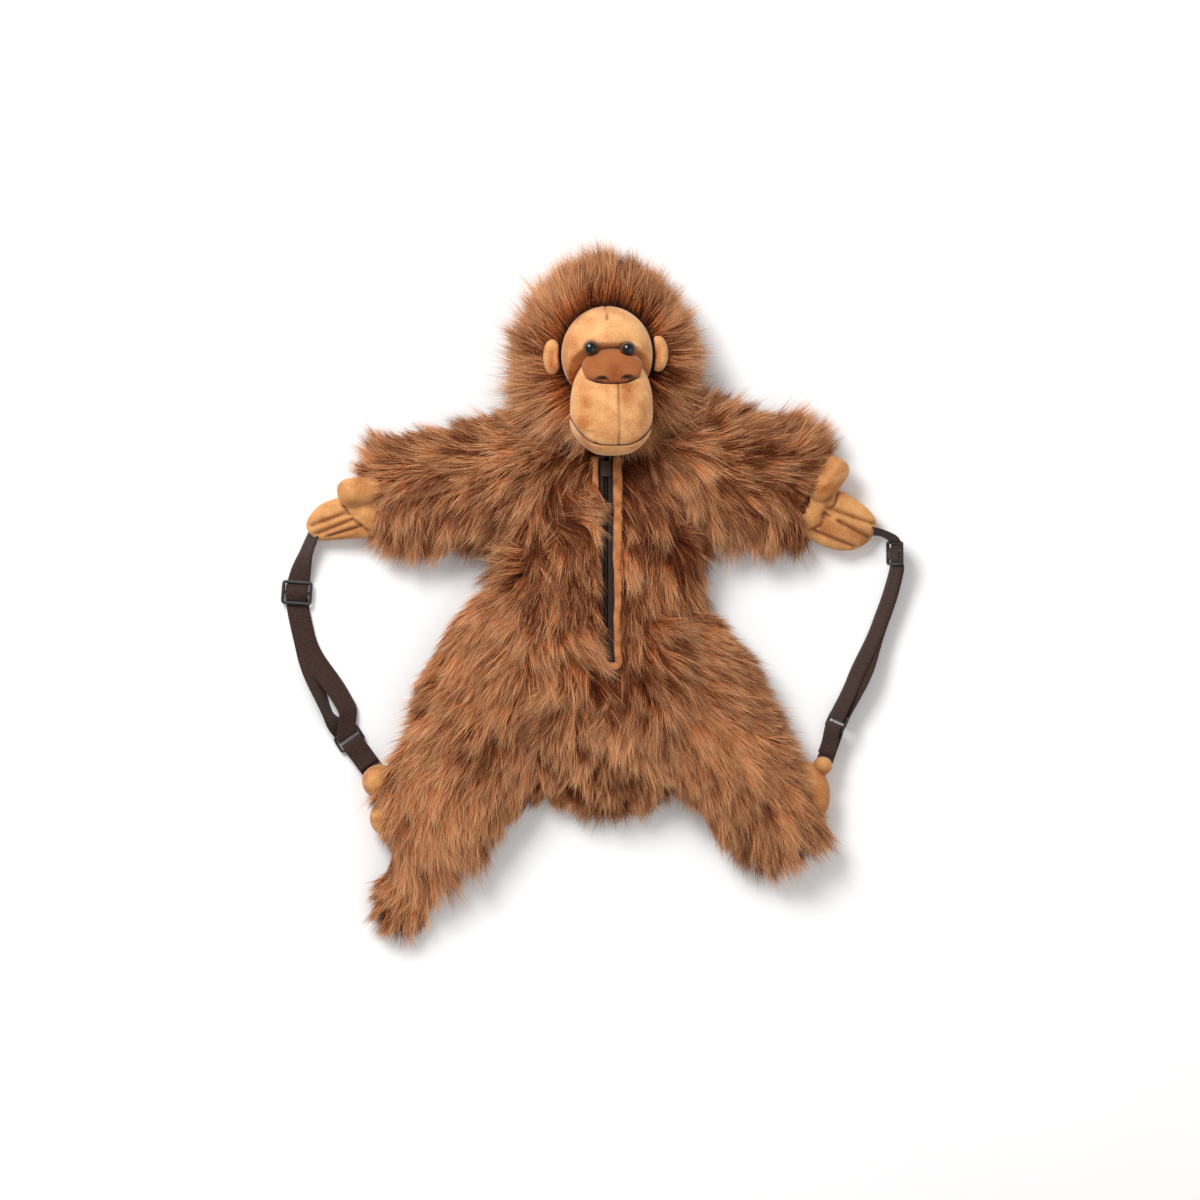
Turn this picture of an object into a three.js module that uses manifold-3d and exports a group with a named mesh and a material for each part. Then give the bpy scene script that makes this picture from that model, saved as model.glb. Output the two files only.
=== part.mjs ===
// A plush monkey backpack, lying on its back with arms and legs spread: a zipped, hollow torso, stuffed
// and furred head, limbs and tail, velour face, hands and feet, and two webbing shoulder straps.
// Millimetres. +Z points up out of the belly, +Y towards the head, +X to the right as seen from above.

import * as THREE from 'three';
import { mergeVertices } from 'three/addons/utils/BufferGeometryUtils.js';
import { LoftGeometry } from 'three/addons/geometries/LoftGeometry.js';
import Module from 'manifold-3d';

const wasm = await Module();
wasm.setup();

// Driving dimensions
const GAP = 0.35; // clearance between neighbouring pieces
const WALL = 2.5; // padded cloth of the torso shell
const PANEL = 3; // padded cloth of the back panel
const COAT = 14; // depth of the torso's fur up to its locks
const COAT_FOOT = 5; // height of the coat's lower edge above the ground
const WEBBING = { width: 20, thickness: 1.2 };
const BELLY_CURVE = 2.6; // exponent of the torso's rounded profile, where 2 is an ellipse

// Torso outline, as half widths at heights along the body, and the height of its front there
const TORSO_CENTRE = { x: 0, y: 5 };
const TORSO = [
  { y: 166, halfWidth: 50, tall: 34 },
  { y: 134, halfWidth: 75, tall: 50 },
  { y: 80, halfWidth: 82, tall: 60 },
  { y: 10, halfWidth: 80, tall: 68 },
  { y: -62, halfWidth: 90, tall: 74 },
  { y: -122, halfWidth: 80, tall: 66 },
  { y: -160, halfWidth: 46, tall: 52 },
];

// Zip down the front: a slot in the shell, two tapes, a coil and a welt round it
const ZIP = { x: 5.4, top: 138, bottom: -46, gap: 13, slot: 18 };
const WELT = { width: 9, thickness: 2, foot: -2, lap: 1 };
const TAPE = { low: -2.4, thickness: 1 };
const COIL = { width: 3, low: -3, high: -0.8 };
const SLIDER = { width: 9, length: 14, thickness: 2.4, top: 134 };

// Round pieces of the head, as centres and radii
const HEAD = { at: [6, 228, 37], radii: [64, 70, 42] };
const FACE = { at: [6.3, 229, 66], radii: [43.5, 46, 40] };
const MUZZLE = { at: [10, 179, 84], radii: [38.5, 35, 34] };
const LIP = { at: [11, 166, 78], radii: [36, 29.5, 27] };
const NOSE = { at: [10.8, 218, 103], radii: [28, 15, 11] };
const EARS = [
  { name: 'ear_left', at: [-43, 227, 62], radii: [9, 17, 12] },
  { name: 'ear_right', at: [52, 230, 62], radii: [10, 17, 12] },
];
const EYES = [
  { name: 'eye_left', at: [-8.1, 235, 101.5], radii: [7, 7, 6] },
  { name: 'eye_right', at: [25.2, 234, 101], radii: [7, 7, 6] },
];

// Stuffed limbs, as sections along their length: half width in plan and half height
const ARMS = [
  {
    name: 'arm_left',
    rows: [
      { x: -58, y: 133, z: 29, across: 48, tall: 30 },
      { x: -100, y: 118, z: 27, across: 49, tall: 28 },
      { x: -150, y: 109, z: 24, across: 49, tall: 25 },
      { x: -188, y: 104, z: 21, across: 42, tall: 22 },
      { x: -206, y: 102, z: 19, across: 24, tall: 14 },
    ],
  },
  {
    name: 'arm_right',
    rows: [
      { x: 58, y: 143, z: 29, across: 48, tall: 30 },
      { x: 102, y: 130, z: 27, across: 52, tall: 28 },
      { x: 148, y: 118, z: 24, across: 52, tall: 25 },
      { x: 182, y: 107, z: 21, across: 42, tall: 22 },
      { x: 197, y: 103, z: 19, across: 24, tall: 14 },
    ],
  },
];
const LEGS = [
  {
    name: 'leg_left',
    rows: [
      { x: -58, y: -28, z: 33, across: 66, tall: 34 },
      { x: -110, y: -108, z: 32, across: 66, tall: 33 },
      { x: -146, y: -171, z: 28, across: 60, tall: 30 },
      { x: -163, y: -196, z: 24, across: 45, tall: 26 },
      { x: -171, y: -208, z: 21, across: 26, tall: 17 },
    ],
  },
  {
    name: 'leg_right',
    rows: [
      { x: 50, y: -38, z: 33, across: 54, tall: 34 },
      { x: 110, y: -114, z: 32, across: 60, tall: 33 },
      { x: 148, y: -160, z: 28, across: 56, tall: 30 },
      { x: 166, y: -187, z: 24, across: 44, tall: 26 },
      { x: 177, y: -206, z: 21, across: 28, tall: 17 },
    ],
  },
];
const TAIL = {
  name: 'tail',
  rows: [
    { x: -26, y: -130, z: 11, across: 15, tall: 12 },
    { x: -88, y: -170, z: 11, across: 15, tall: 12 },
    { x: -142, y: -214, z: 12, across: 17, tall: 13 },
    { x: -175, y: -254, z: 14, across: 24, tall: 15 },
    { x: -184, y: -280, z: 13, across: 18, tall: 13 },
    { x: -187, y: -290, z: 12, across: 6, tall: 6 },
  ],
};

// Velour hands, from the wrist to the fingertips: four stitched fingers across a flat mitten, and a thumb.
// The index finger lies on the side that index gives, and slope lifts that side.
const HANDS = [
  {
    name: 'hand_left',
    wrist: [-192, 99, 21],
    turn: 206,
    length: 76,
    halfWidth: 18,
    index: -1,
    slope: 0.5,
    thumb: { name: 'thumb_left', root: [-206, 99, 29], tip: [-225, 107, 28], radius: 12.5 },
  },
  {
    name: 'hand_right',
    wrist: [180.5, 96.6, 20],
    turn: -27.5,
    length: 75,
    halfWidth: 23.5,
    index: 1,
    slope: 0.25,
    thumb: { name: 'thumb_right', root: [196, 106, 28], tip: [215.5, 129, 27], radius: 10.5 },
  },
];
const FINGERS = { count: 4, facets: 2, from: 0.4, groove: 0.5, slant: 0.31, longest: 0.2, droop: 9 };
const HAND_ROWS = [
  { share: 0, wide: 0.6, tall: 8 },
  { share: 0.3, wide: 0.92, tall: 12 },
  { share: 0.48, wide: 1, tall: 8.5 },
  { share: 0.76, wide: 1, tall: 7 },
  { share: 0.92, wide: 0.93, tall: 5 },
  { share: 1, wide: 0.8, tall: 0 },
];

// Velour feet, as lobes that show past the fur and a sole inside it
const FEET = [
  {
    name: 'foot_left',
    lobes: [
      { at: [-198, -154, 20], radii: [17, 16, 19] },
      { at: [-191, -187, 18], radii: [17, 17, 17] },
      { at: [-180, -170, 17], radii: [22, 26, 15] },
    ],
  },
  {
    name: 'foot_right',
    lobes: [
      { at: [200, -140, 19], radii: [9.5, 9, 14] },
      { at: [191, -166, 19], radii: [17, 24, 17] },
      { at: [180, -158, 17], radii: [22, 24, 15] },
    ],
  },
];

// Straps from the fingertips to the feet: their route, roll (degrees from lying flat), and hardware
const STRAPS = [
  {
    side: 'left',
    glideAt: 62,
    ringAt: 196,
    route: [
      { x: -255, y: 74, z: 10.5, roll: 62 },
      { x: -264, y: 52, z: 9, roll: 55 },
      { x: -270.5, y: 28, z: 4, roll: 14 },
      { x: -272.5, y: 10, z: 1.6, roll: 2 },
      { x: -269, y: -12, z: 1.2, roll: 2 },
      { x: -261, y: -42, z: 1.2, roll: 2 },
      { x: -246, y: -76, z: 1.2, roll: 2 },
      { x: -231, y: -107, z: 1.4, roll: 2 },
      { x: -214, y: -131, z: 4, roll: 2 },
      { x: -200, y: -150, z: 12, roll: 2 },
    ],
  },
  {
    side: 'right',
    glideAt: 42,
    ringAt: 198,
    route: [
      { x: 238, y: 72, z: 10.5, roll: 66 },
      { x: 256, y: 68.5, z: 11, roll: 74 },
      { x: 267, y: 60, z: 14, roll: 64 },
      { x: 268.5, y: 44, z: 14, roll: 58 },
      { x: 263, y: 18, z: 11, roll: 54 },
      { x: 252, y: -14, z: 10, roll: 52 },
      { x: 240, y: -46, z: 10, roll: 50 },
      { x: 226, y: -78, z: 11.5, roll: 50 },
      { x: 214, y: -104, z: 12, roll: 48 },
      { x: 202, y: -136, z: 14, roll: 44 },
    ],
  },
];
const GLIDE = { length: 22, width: 28, thickness: 2.8, bar: 3, middleBar: 4, base: 2.8, ease: 1 };
const RING = { width: 26, bar: 2.6, pitch: 14, turn: 2.8 };
const LAYER = 1.6; // from the middle of one webbing layer to the next
const RIBBON_STEP = 24; // between sections of the webbing
// How the webbing weaves through the slider and turns back at the ring, as distances along it
const WEAVE = { lead: 12, clear: 0.6, over: 0.45, straight: 10, toTurn: 4, fromTurn: 28, end: 1.6 };
const TAB = { lap: 24, toTurn: 4, fromTurn: 12 };

const COLOURS = {
  fur: { color: '#94603f', roughness: 0.9 },
  velour: { color: '#e0a068', roughness: 0.85 },
  nose: { color: '#9c5c32', roughness: 0.85 },
  eye: { color: '#120c0a', roughness: 0.1 },
  cloth: { color: '#4a3020', roughness: 0.9 },
  zip: { color: '#352420', roughness: 0.7 },
  welt: { color: '#b97c50', roughness: 0.85 },
  webbing: { color: '#382824', roughness: 0.8 },
  plastic: { color: '#161414', roughness: 0.35 },
};

// Facets of the round pieces, as how many around and how many from pole to pole
const FACETS = {
  head: [13, 6],
  face: [12, 8],
  lip: [12, 7],
  nose: [12, 6],
  ear: [8, 6],
  small: [8, 5],
  torso: [20, 5],
  coat: [18, 4],
};
const CURVE_STEPS = 400; // samples along a curve whose length or turn is measured
const CUTTER = { span: 900, tall: 200 }; // blocks that reach past the whole part

// Solids

function signedVolume(places, corners) {
  const [a, b, c] = [0, 1, 2].map(() => new THREE.Vector3());
  let volume = 0;
  for (let i = 0; i < corners.length; i += 3) {
    a.fromArray(places, corners[i] * 3);
    b.fromArray(places, corners[i + 1] * 3);
    c.fromArray(places, corners[i + 2] * 3);
    volume += a.dot(b.cross(c)) / 6;
  }
  return volume;
}

// A closed geometry as a solid that faces out, without the empty faces at its poles.
function toSolid(geometry) {
  const bare = new THREE.BufferGeometry();
  bare.setAttribute('position', geometry.attributes.position);
  bare.setIndex(geometry.index);
  const merged = mergeVertices(bare, 1e-4);
  const places = merged.attributes.position.array;
  const corners = [];
  for (let i = 0; i < merged.index.count; i += 3) {
    const [a, b, c] = merged.index.array.slice(i, i + 3);
    if (a !== b && b !== c && c !== a) corners.push(a, b, c);
  }
  if (signedVolume(places, corners) < 0) corners.reverse();
  const mesh = new wasm.Mesh({
    numProp: 3,
    vertProperties: places,
    triVerts: new Uint32Array(corners),
  });
  return new wasm.Manifold(mesh);
}

function toGeometry(solid) {
  const bodies = solid.decompose();
  bodies.sort((a, b) => b.volume() - a.volume());
  const mesh = bodies[0].getMesh();
  const geometry = new THREE.BufferGeometry();
  geometry.setAttribute('position', new THREE.BufferAttribute(mesh.vertProperties, 3));
  geometry.setIndex(new THREE.BufferAttribute(mesh.triVerts, 1));
  geometry.computeVertexNormals();
  return geometry;
}

const join = (solids) => solids.reduce((whole, next) => whole.add(next));
const cut = (solid, others) => others.reduce((left, other) => left.subtract(other), solid);

function box(width, length, height, x, y, z) {
  return toSolid(new THREE.BoxGeometry(width, length, height).translate(x, y, z));
}

function ellipsoid({ at, radii }, facets, grow = 0) {
  const geometry = new THREE.SphereGeometry(1, ...facets).rotateX(Math.PI / 2);
  geometry.scale(...radii.map((radius) => radius + grow)).translate(...at);
  return toSolid(geometry);
}

// A solid through sections, whose last one is capped unless it has shrunk to a point.
function loft(sections, pointed = false) {
  return toSolid(new LoftGeometry(sections, { capStart: true, capEnd: !pointed }));
}

const below = (height) => box(CUTTER.span, CUTTER.span, CUTTER.tall, 0, 0, height - CUTTER.tall / 2);
const GROUND = below(0);

// Torso

// A smooth curve through rows, read at any place between the first (0) and the last (1).
function curveThrough(rows, x, y, z) {
  const points = rows.map((row) => new THREE.Vector3(row[x], row[y], z ? row[z] : 0));
  return new THREE.CatmullRomCurve3(points);
}

const torsoOutline = new THREE.CatmullRomCurve3(
  [
    ...TORSO.map((row) => new THREE.Vector3(row.halfWidth, row.y, 0)),
    ...TORSO.toReversed().map((row) => new THREE.Vector3(-row.halfWidth, row.y, 0)),
  ],
  true,
);
const outlineSamples = torsoOutline.getSpacedPoints(CURVE_STEPS).map((point) => {
  const dx = point.x - TORSO_CENTRE.x;
  const dy = point.y - TORSO_CENTRE.y;
  return { angle: Math.atan2(dy, dx), radius: Math.hypot(dx, dy) };
});
outlineSamples.sort((a, b) => a.angle - b.angle);

// Between two rows of a sorted table, or at its ends.
function between(table, key, value, at) {
  const next = table.findIndex((row) => row[key] >= at);
  if (next === 0) return table[0][value];
  if (next < 0) return table[table.length - 1][value];
  const [a, b] = [table[next - 1], table[next]];
  return THREE.MathUtils.mapLinear(at, a[key], b[key], a[value], b[value]);
}

const torsoRadius = (angle) => between(outlineSamples, 'angle', 'radius', angle);
const torsoTall = (y) => between(TORSO.toReversed(), 'y', 'tall', y);

// Height of the torso's front above a place in plan.
function torsoHeight(x, y, grow = 0) {
  const dx = x - TORSO_CENTRE.x;
  const dy = y - TORSO_CENTRE.y;
  const share = Math.min(Math.hypot(dx, dy) / (torsoRadius(Math.atan2(dy, dx)) + grow), 1);
  return PANEL + GAP + (torsoTall(y) + grow) * (1 - share ** BELLY_CURVE) ** (1 / BELLY_CURVE);
}

// A ring of points round the torso, at a share of the way out to its outline and at a height in plan.
function torsoRing(grow, share, heightAt, around) {
  return Array.from({ length: around }, (_, i) => {
    const angle = -Math.PI + (2 * Math.PI * i) / around;
    const radius = (torsoRadius(angle) + grow) * share;
    const x = TORSO_CENTRE.x + radius * Math.cos(angle);
    const y = TORSO_CENTRE.y + radius * Math.sin(angle);
    return new THREE.Vector3(x, y, heightAt(y));
  });
}

// The torso's full dome, grown all round, whose flat underside lies at the height foot.
function torsoDome(grow, foot, [around, rings] = FACETS.torso) {
  const sections = [torsoRing(grow, 1, () => foot, around)];
  if (foot < PANEL + GAP) sections.push(torsoRing(grow, 1, () => PANEL + GAP, around));
  for (let i = 1; i <= rings; i++) {
    const lift = Math.sin((Math.PI / 2) * (i / rings));
    const share = (1 - lift ** BELLY_CURVE) ** (1 / BELLY_CURVE);
    const heightAt = (y) => Math.max(PANEL + GAP + (torsoTall(y) + grow) * lift, foot);
    sections.push(torsoRing(grow, share, heightAt, around));
  }
  return loft(sections, true);
}

const backPanel = ([around] = FACETS.torso) =>
  loft([torsoRing(0, 1, () => 0, around), torsoRing(0, 1, () => PANEL, around)]);

const zipMiddle = (ZIP.top + ZIP.bottom) / 2;
const zipLength = ZIP.top - ZIP.bottom;
const zipSlot = box(ZIP.slot, zipLength, CUTTER.tall, ZIP.x, zipMiddle, CUTTER.tall / 2 + PANEL);
const domeClear = torsoDome(GAP, -PANEL);

function torsoShell() {
  const hollow = torsoDome(-WALL, -PANEL);
  return cut(torsoDome(0, PANEL + GAP), [hollow, zipSlot]);
}

// Zip

// A strip along the zip over the torso's front, between two offsets from the zip's middle line.
function zipStrip(from, to, top, bottom, low, high, steps = 8) {
  const sections = [];
  for (let i = 0; i <= steps; i++) {
    const y = THREE.MathUtils.lerp(top, bottom, i / steps);
    const corners = [[from, low], [to, low], [to, high], [from, high]];
    sections.push(
      corners.map(([across, lift]) => {
        const x = ZIP.x + across;
        return new THREE.Vector3(x, y, torsoHeight(x, y) + lift);
      }),
    );
  }
  return loft(sections);
}

const slotEdge = ZIP.slot / 2 - GAP;
const coilEdge = COIL.width / 2;

function zipTape(side) {
  const [from, to] = side < 0 ? [-slotEdge, -coilEdge - GAP] : [coilEdge + GAP, slotEdge];
  const top = ZIP.top - GAP;
  const bottom = ZIP.bottom + GAP;
  return zipStrip(from, to, top, bottom, TAPE.low, TAPE.low + TAPE.thickness);
}

function zipCoil() {
  const top = SLIDER.top - SLIDER.length - GAP;
  return zipStrip(-coilEdge, coilEdge, top, ZIP.bottom + GAP, COIL.low, COIL.high);
}

function zipSlider() {
  const half = SLIDER.width / 2;
  const low = TAPE.low + TAPE.thickness + GAP;
  const bottom = SLIDER.top - SLIDER.length;
  return zipStrip(-half, half, SLIDER.top, bottom, low, low + SLIDER.thickness, 2);
}

// Room kept clear under the tapes and over the welt, and past the welt's upper end
const ROOM = { low: -10, high: 60, past: 30 };
const weltEdge = ZIP.gap / 2;
const weltOuter = weltEdge + WELT.width;
const weltEnd = ZIP.bottom - WELT.width;

function zipWelt() {
  const inner = weltEdge + WELT.lap;
  const strips = [
    zipStrip(weltEdge, weltOuter, ZIP.top, weltEnd, WELT.foot, WELT.thickness),
    zipStrip(-weltOuter, -weltEdge, ZIP.top, weltEnd, WELT.foot, WELT.thickness),
    zipStrip(-inner, inner, ZIP.bottom, weltEnd, WELT.foot, WELT.thickness, 2),
  ];
  const tapeTop = TAPE.low + TAPE.thickness + GAP;
  const tapeRoom = zipStrip(-ZIP.slot / 2, ZIP.slot / 2, ZIP.top, ZIP.bottom, ROOM.low, tapeTop);
  return cut(join(strips), [torsoDome(GAP, PANEL), tapeRoom]);
}

const weltSide = weltOuter + GAP;
const weltTop = ZIP.top + ROOM.past;
const weltRoom = zipStrip(-weltSide, weltSide, weltTop, weltEnd - GAP, ROOM.low, ROOM.high);

// Fur locks

const UP = new THREE.Vector3(0, 0, 1);

// A lock starts sunk into the surface and rises to its tip; its length varies from the shortest by spread.
const LOCK = { sunk: 0.35, rise: 0.06, tipGrow: 3, shortest: 0.85, spread: 0.3, lift: 0.1 };
const LOCK_RINGS = [
  { share: -0.25, width: 0.8 },
  { share: 0.45, width: 0.9 },
];
const LOCK_CORNERS = [
  { across: -1, up: -0.4 },
  { across: 0, up: 0.7 },
  { across: 1, up: -0.4 },
];

// A tapered lock from a root on a surface: a three-sided ridge that lies along the fur to its tip.
function lock(root, normal, direction, length, radius, grow) {
  const along = direction.clone().normalize();
  const side = along.clone().cross(normal).normalize();
  const lift = side.clone().cross(along).normalize();
  const reach = length + LOCK.tipGrow * grow;
  const rings = LOCK_RINGS.map(({ share, width }) => {
    const middle = root.clone().addScaledVector(along, share * reach);
    middle.addScaledVector(normal, share * LOCK.rise * length - LOCK.sunk * radius);
    const half = width * radius + grow;
    return LOCK_CORNERS.map(({ across, up }) =>
      middle.clone().addScaledVector(side, across * half).addScaledVector(lift, up * half),
    );
  });
  const tip = root.clone().addScaledVector(along, reach);
  const sections = [...rings, [tip, tip, tip]];
  for (const point of sections.flat()) point.z = Math.max(point.z, 0);
  return loft(sections, true);
}

// A steady spread of shares between 0 and 1, with no two neighbours alike.
const GOLDEN = (Math.sqrt(5) - 1) / 2;
const scatter = (index, salt) => ((index + salt) * GOLDEN) % 1;
const varied = (length, index, salt) => length * (LOCK.shortest + LOCK.spread * scatter(index, salt));

// Limbs

function limbFrame(rows) {
  const middle = curveThrough(rows, 'x', 'y', 'z');
  const size = curveThrough(rows, 'across', 'tall');
  return (share) => {
    const along = middle.getTangent(share).setZ(0).normalize();
    const { x: across, y: tall } = size.getPoint(share);
    return { at: middle.getPoint(share), along, side: UP.clone().cross(along), across, tall };
  };
}

function limbPoint(frame, angle, grow = 0) {
  const point = frame.at.clone();
  point.addScaledVector(frame.side, (frame.across + grow) * Math.cos(angle));
  point.z = Math.max(point.z + (frame.tall + grow) * Math.sin(angle), 0);
  return point;
}

function limbCore(rows, grow, steps, around = 9) {
  const frameAt = limbFrame(rows);
  const sections = [];
  for (let i = 0; i <= steps; i++) {
    const frame = frameAt(i / steps);
    sections.push(
      Array.from({ length: around }, (_, k) => limbPoint(frame, (2 * Math.PI * k) / around, grow)),
    );
  }
  return loft(sections);
}

// A limb with locks along both edges and over its upper side, combed towards its tip and to a fall.
// Locks on the side that faces the feet are longer, and those that face the head shorter.
const LOCK_ANGLES = [0.04, 0.96, 0.32, 0.68].map((share) => share * Math.PI);
const LAST_LOCK = 0.97; // share of the way along the limb

function furredLimb({ rows }, coat, grow) {
  const frameAt = limbFrame(rows);
  const solids = [limbCore(rows, grow, coat.steps)];
  for (let i = 0; i < coat.locks; i++) {
    const share = THREE.MathUtils.lerp(coat.from, LAST_LOCK, (i + 0.5) / coat.locks);
    const angle = LOCK_ANGLES[i % LOCK_ANGLES.length];
    const frame = frameAt(share);
    const root = limbPoint(frame, angle);
    const normal = frame.side.clone().multiplyScalar(Math.cos(angle));
    normal.addScaledVector(UP, Math.sin(angle)).normalize();
    const direction = frame.along.clone().multiplyScalar(coat.along);
    direction.addScaledVector(frame.side, coat.out * Math.cos(angle));
    direction.add(new THREE.Vector3(...coat.fall, LOCK.lift));
    const longer = 1 - coat.longer * frame.side.y * Math.cos(angle);
    const length = varied(coat.length, i, coat.salt) * longer;
    solids.push(lock(root, normal, direction, length, coat.radius, grow));
  }
  return cut(join(solids), [GROUND]);
}

const ARM_COAT = { steps: 4, from: 0.3, locks: 12, length: 32, radius: 16 };
const ARM_COMB = { along: 0.6, out: 1, longer: 0.35, fall: [0, -0.35] };
const LEG_COAT = { steps: 4, from: 0.25, locks: 12, length: 34, radius: 18 };
const LEG_COMB = { along: 0.8, out: 0.7, longer: 0.4, fall: [0, -0.5] };
const TAIL_COAT = { steps: 6, from: 0.62, locks: 6, length: 17, radius: 11 };
const TAIL_COMB = { along: 0.8, out: 0.9, longer: 0, fall: [0, -0.2] };
const COATS = {
  arm_left: { ...ARM_COAT, ...ARM_COMB, salt: 1 },
  arm_right: { ...ARM_COAT, ...ARM_COMB, salt: 2 },
  leg_left: { ...LEG_COAT, ...LEG_COMB, salt: 3 },
  leg_right: { ...LEG_COAT, ...LEG_COMB, salt: 4 },
  tail: { ...TAIL_COAT, ...TAIL_COMB, salt: 5 },
};

const furred = (limb, grow = 0) => furredLimb(limb, COATS[limb.name], grow);

// Head

const HALO = [
  { rise: 8, locks: 12, length: 34, tilt: 0.25 },
  { rise: 36, locks: 7, length: 36, tilt: 0.5 },
];
const HALO_OPENING = 34; // degrees left clear on each side of the chin
const HALO_RADIUS = 18; // half width of a lock

function furredHead(grow) {
  const solids = [ellipsoid(HEAD, FACETS.head, grow)];
  const middle = new THREE.Vector3(...HEAD.at);
  for (const { rise, locks, length, tilt } of HALO) {
    const lift = THREE.MathUtils.degToRad(rise);
    for (let i = 0; i < locks; i++) {
      const turn = THREE.MathUtils.lerp(HALO_OPENING, 360 - HALO_OPENING, (i + 0.5) / locks) - 90;
      const angle = THREE.MathUtils.degToRad(turn);
      const outward = new THREE.Vector3(Math.cos(angle), Math.sin(angle), 0);
      const root = outward.clone().multiplyScalar(Math.cos(lift)).setZ(Math.sin(lift));
      root.multiply(new THREE.Vector3(...HEAD.radii)).add(middle);
      const direction = outward.setZ(tilt);
      solids.push(lock(root, UP, direction, varied(length, i, rise), HALO_RADIUS, grow));
    }
  }
  return cut(join(solids), [GROUND]);
}

// Torso coat

const COAT_ROWS = [
  { share: 0.45, locks: 4, length: 48 },
  { share: 0.72, locks: 6, length: 48 },
  { share: 0.98, locks: 12, length: 36 },
];
// Locks of the coat hang towards the feet and a little outward, off a surface that turns upright at its edge
const COAT_LOCK = { radius: 16, lowest: 15, outward: 0.55, lift: 0.15, upright: 1.05 };

function torsoCoat() {
  const solids = [torsoDome(COAT, COAT_FOOT, FACETS.coat)];
  COAT_ROWS.forEach(({ share, locks, length }, row) => {
    for (let i = 0; i < locks; i++) {
      const angle = -Math.PI + (2 * Math.PI * (i + scatter(i, row))) / locks;
      const radius = (torsoRadius(angle) + COAT) * share;
      const outward = new THREE.Vector3(Math.cos(angle), Math.sin(angle), 0);
      const root = new THREE.Vector3(TORSO_CENTRE.x, TORSO_CENTRE.y, 0).addScaledVector(outward, radius);
      root.z = Math.max(torsoHeight(root.x, root.y, COAT), COAT_LOCK.lowest);
      const normal = outward.clone().multiplyScalar(share);
      normal.addScaledVector(UP, COAT_LOCK.upright - share).normalize();
      const direction = new THREE.Vector3(0, -1, 0).addScaledVector(outward, COAT_LOCK.outward);
      direction.addScaledVector(normal, COAT_LOCK.lift);
      solids.push(lock(root, normal, direction, length, COAT_LOCK.radius, 0));
    }
  });
  return cut(join(solids), [below(COAT_FOOT)]);
}

// Hands and feet

const THUMB = { facets: 7, tipSteps: 3, rootWidth: 0.8, rootLength: 0.6 };

// A thumb: a tapered lobe with a round tip.
function lobe({ root, tip, radius }, grow) {
  const start = new THREE.Vector3(...root);
  const end = new THREE.Vector3(...tip);
  const reach = start.distanceTo(end);
  const full = radius + grow;
  const profile = [
    new THREE.Vector2(0, -full),
    new THREE.Vector2(full * THUMB.rootWidth, -radius * THUMB.rootLength),
  ];
  for (let i = 0; i < THUMB.tipSteps; i++) {
    const angle = (Math.PI / 2) * (i / THUMB.tipSteps);
    profile.push(new THREE.Vector2(full * Math.cos(angle), reach + full * Math.sin(angle)));
  }
  profile.push(new THREE.Vector2(0, reach + full));
  const geometry = new THREE.LatheGeometry(profile, THUMB.facets);
  const turn = new THREE.Quaternion().setFromUnitVectors(
    new THREE.Vector3(0, 1, 0),
    end.clone().sub(start).normalize(),
  );
  return toSolid(geometry.applyQuaternion(turn).translate(...root));
}

// A hand as sections across it, whose upper and lower sides bulge over each finger and meet at the tips.
function hand({ wrist, turn, length, halfWidth, index, slope }, grow = 0) {
  const heading = THREE.MathUtils.degToRad(turn);
  const along = new THREE.Vector3(Math.cos(heading), Math.sin(heading), 0);
  const side = UP.clone().cross(along);
  const steps = FINGERS.facets * FINGERS.count;
  const round = Array.from({ length: 2 * steps }, (_, k) => {
    const across = k <= steps ? 1 - (2 * k) / steps : -1 + (2 * (k - steps)) / steps;
    return { across, face: k <= steps ? 1 : -1 };
  });
  const sections = HAND_ROWS.map(({ share, wide, tall }) =>
    round.map(({ across, face }) => {
      const reach = 1 - share ** 2 * FINGERS.slant * (across * index - FINGERS.longest) ** 2;
      const bulge = Math.abs(Math.sin((FINGERS.count * Math.PI * across) / 2));
      const groove = share > FINGERS.from ? FINGERS.groove * (1 - bulge) : 0;
      const edge = Math.sqrt(1 - across ** 4);
      const point = new THREE.Vector3(...wrist);
      point.addScaledVector(along, length * share * reach + grow * (2 * share - 1));
      point.addScaledVector(side, (halfWidth * wide + grow) * across);
      point.z += slope * halfWidth * wide * across * index - FINGERS.droop * share;
      point.z += tall > 0 ? face * (tall + grow) * edge * (1 - groove) : 0;
      point.z = Math.max(point.z, 0);
      return point;
    }),
  );
  return loft(sections, true);
}

const foot = ({ lobes }, grow = 0) =>
  cut(join(lobes.map((one) => ellipsoid(one, FACETS.small, grow))), [GROUND]);

// Straps

// The frame of a strap's route at a distance along it: place, direction, width and face.
function routeFrame(route) {
  const places = curveThrough(route, 'x', 'y', 'z');
  const rolls = new THREE.CatmullRomCurve3(route.map((row) => new THREE.Vector3(row.roll, 0, 0)));
  places.arcLengthDivisions = CURVE_STEPS;
  const length = places.getLength();
  const at = (distance) => {
    const share = places.getUtoTmapping(THREE.MathUtils.clamp(distance / length, 0, 1));
    const along = places.getTangent(share).setZ(0).normalize();
    const roll = THREE.MathUtils.degToRad(rolls.getPoint(share).x);
    const across = UP.clone().cross(along).multiplyScalar(Math.cos(roll));
    across.addScaledVector(UP, Math.sin(roll));
    return { place: places.getPoint(share), along, across, face: along.clone().cross(across) };
  };
  return { at, length };
}

function placed(frame, across, face, along = 0) {
  return frame.place
    .clone()
    .addScaledVector(frame.across, across)
    .addScaledVector(frame.face, face)
    .addScaledVector(frame.along, along);
}

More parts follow.
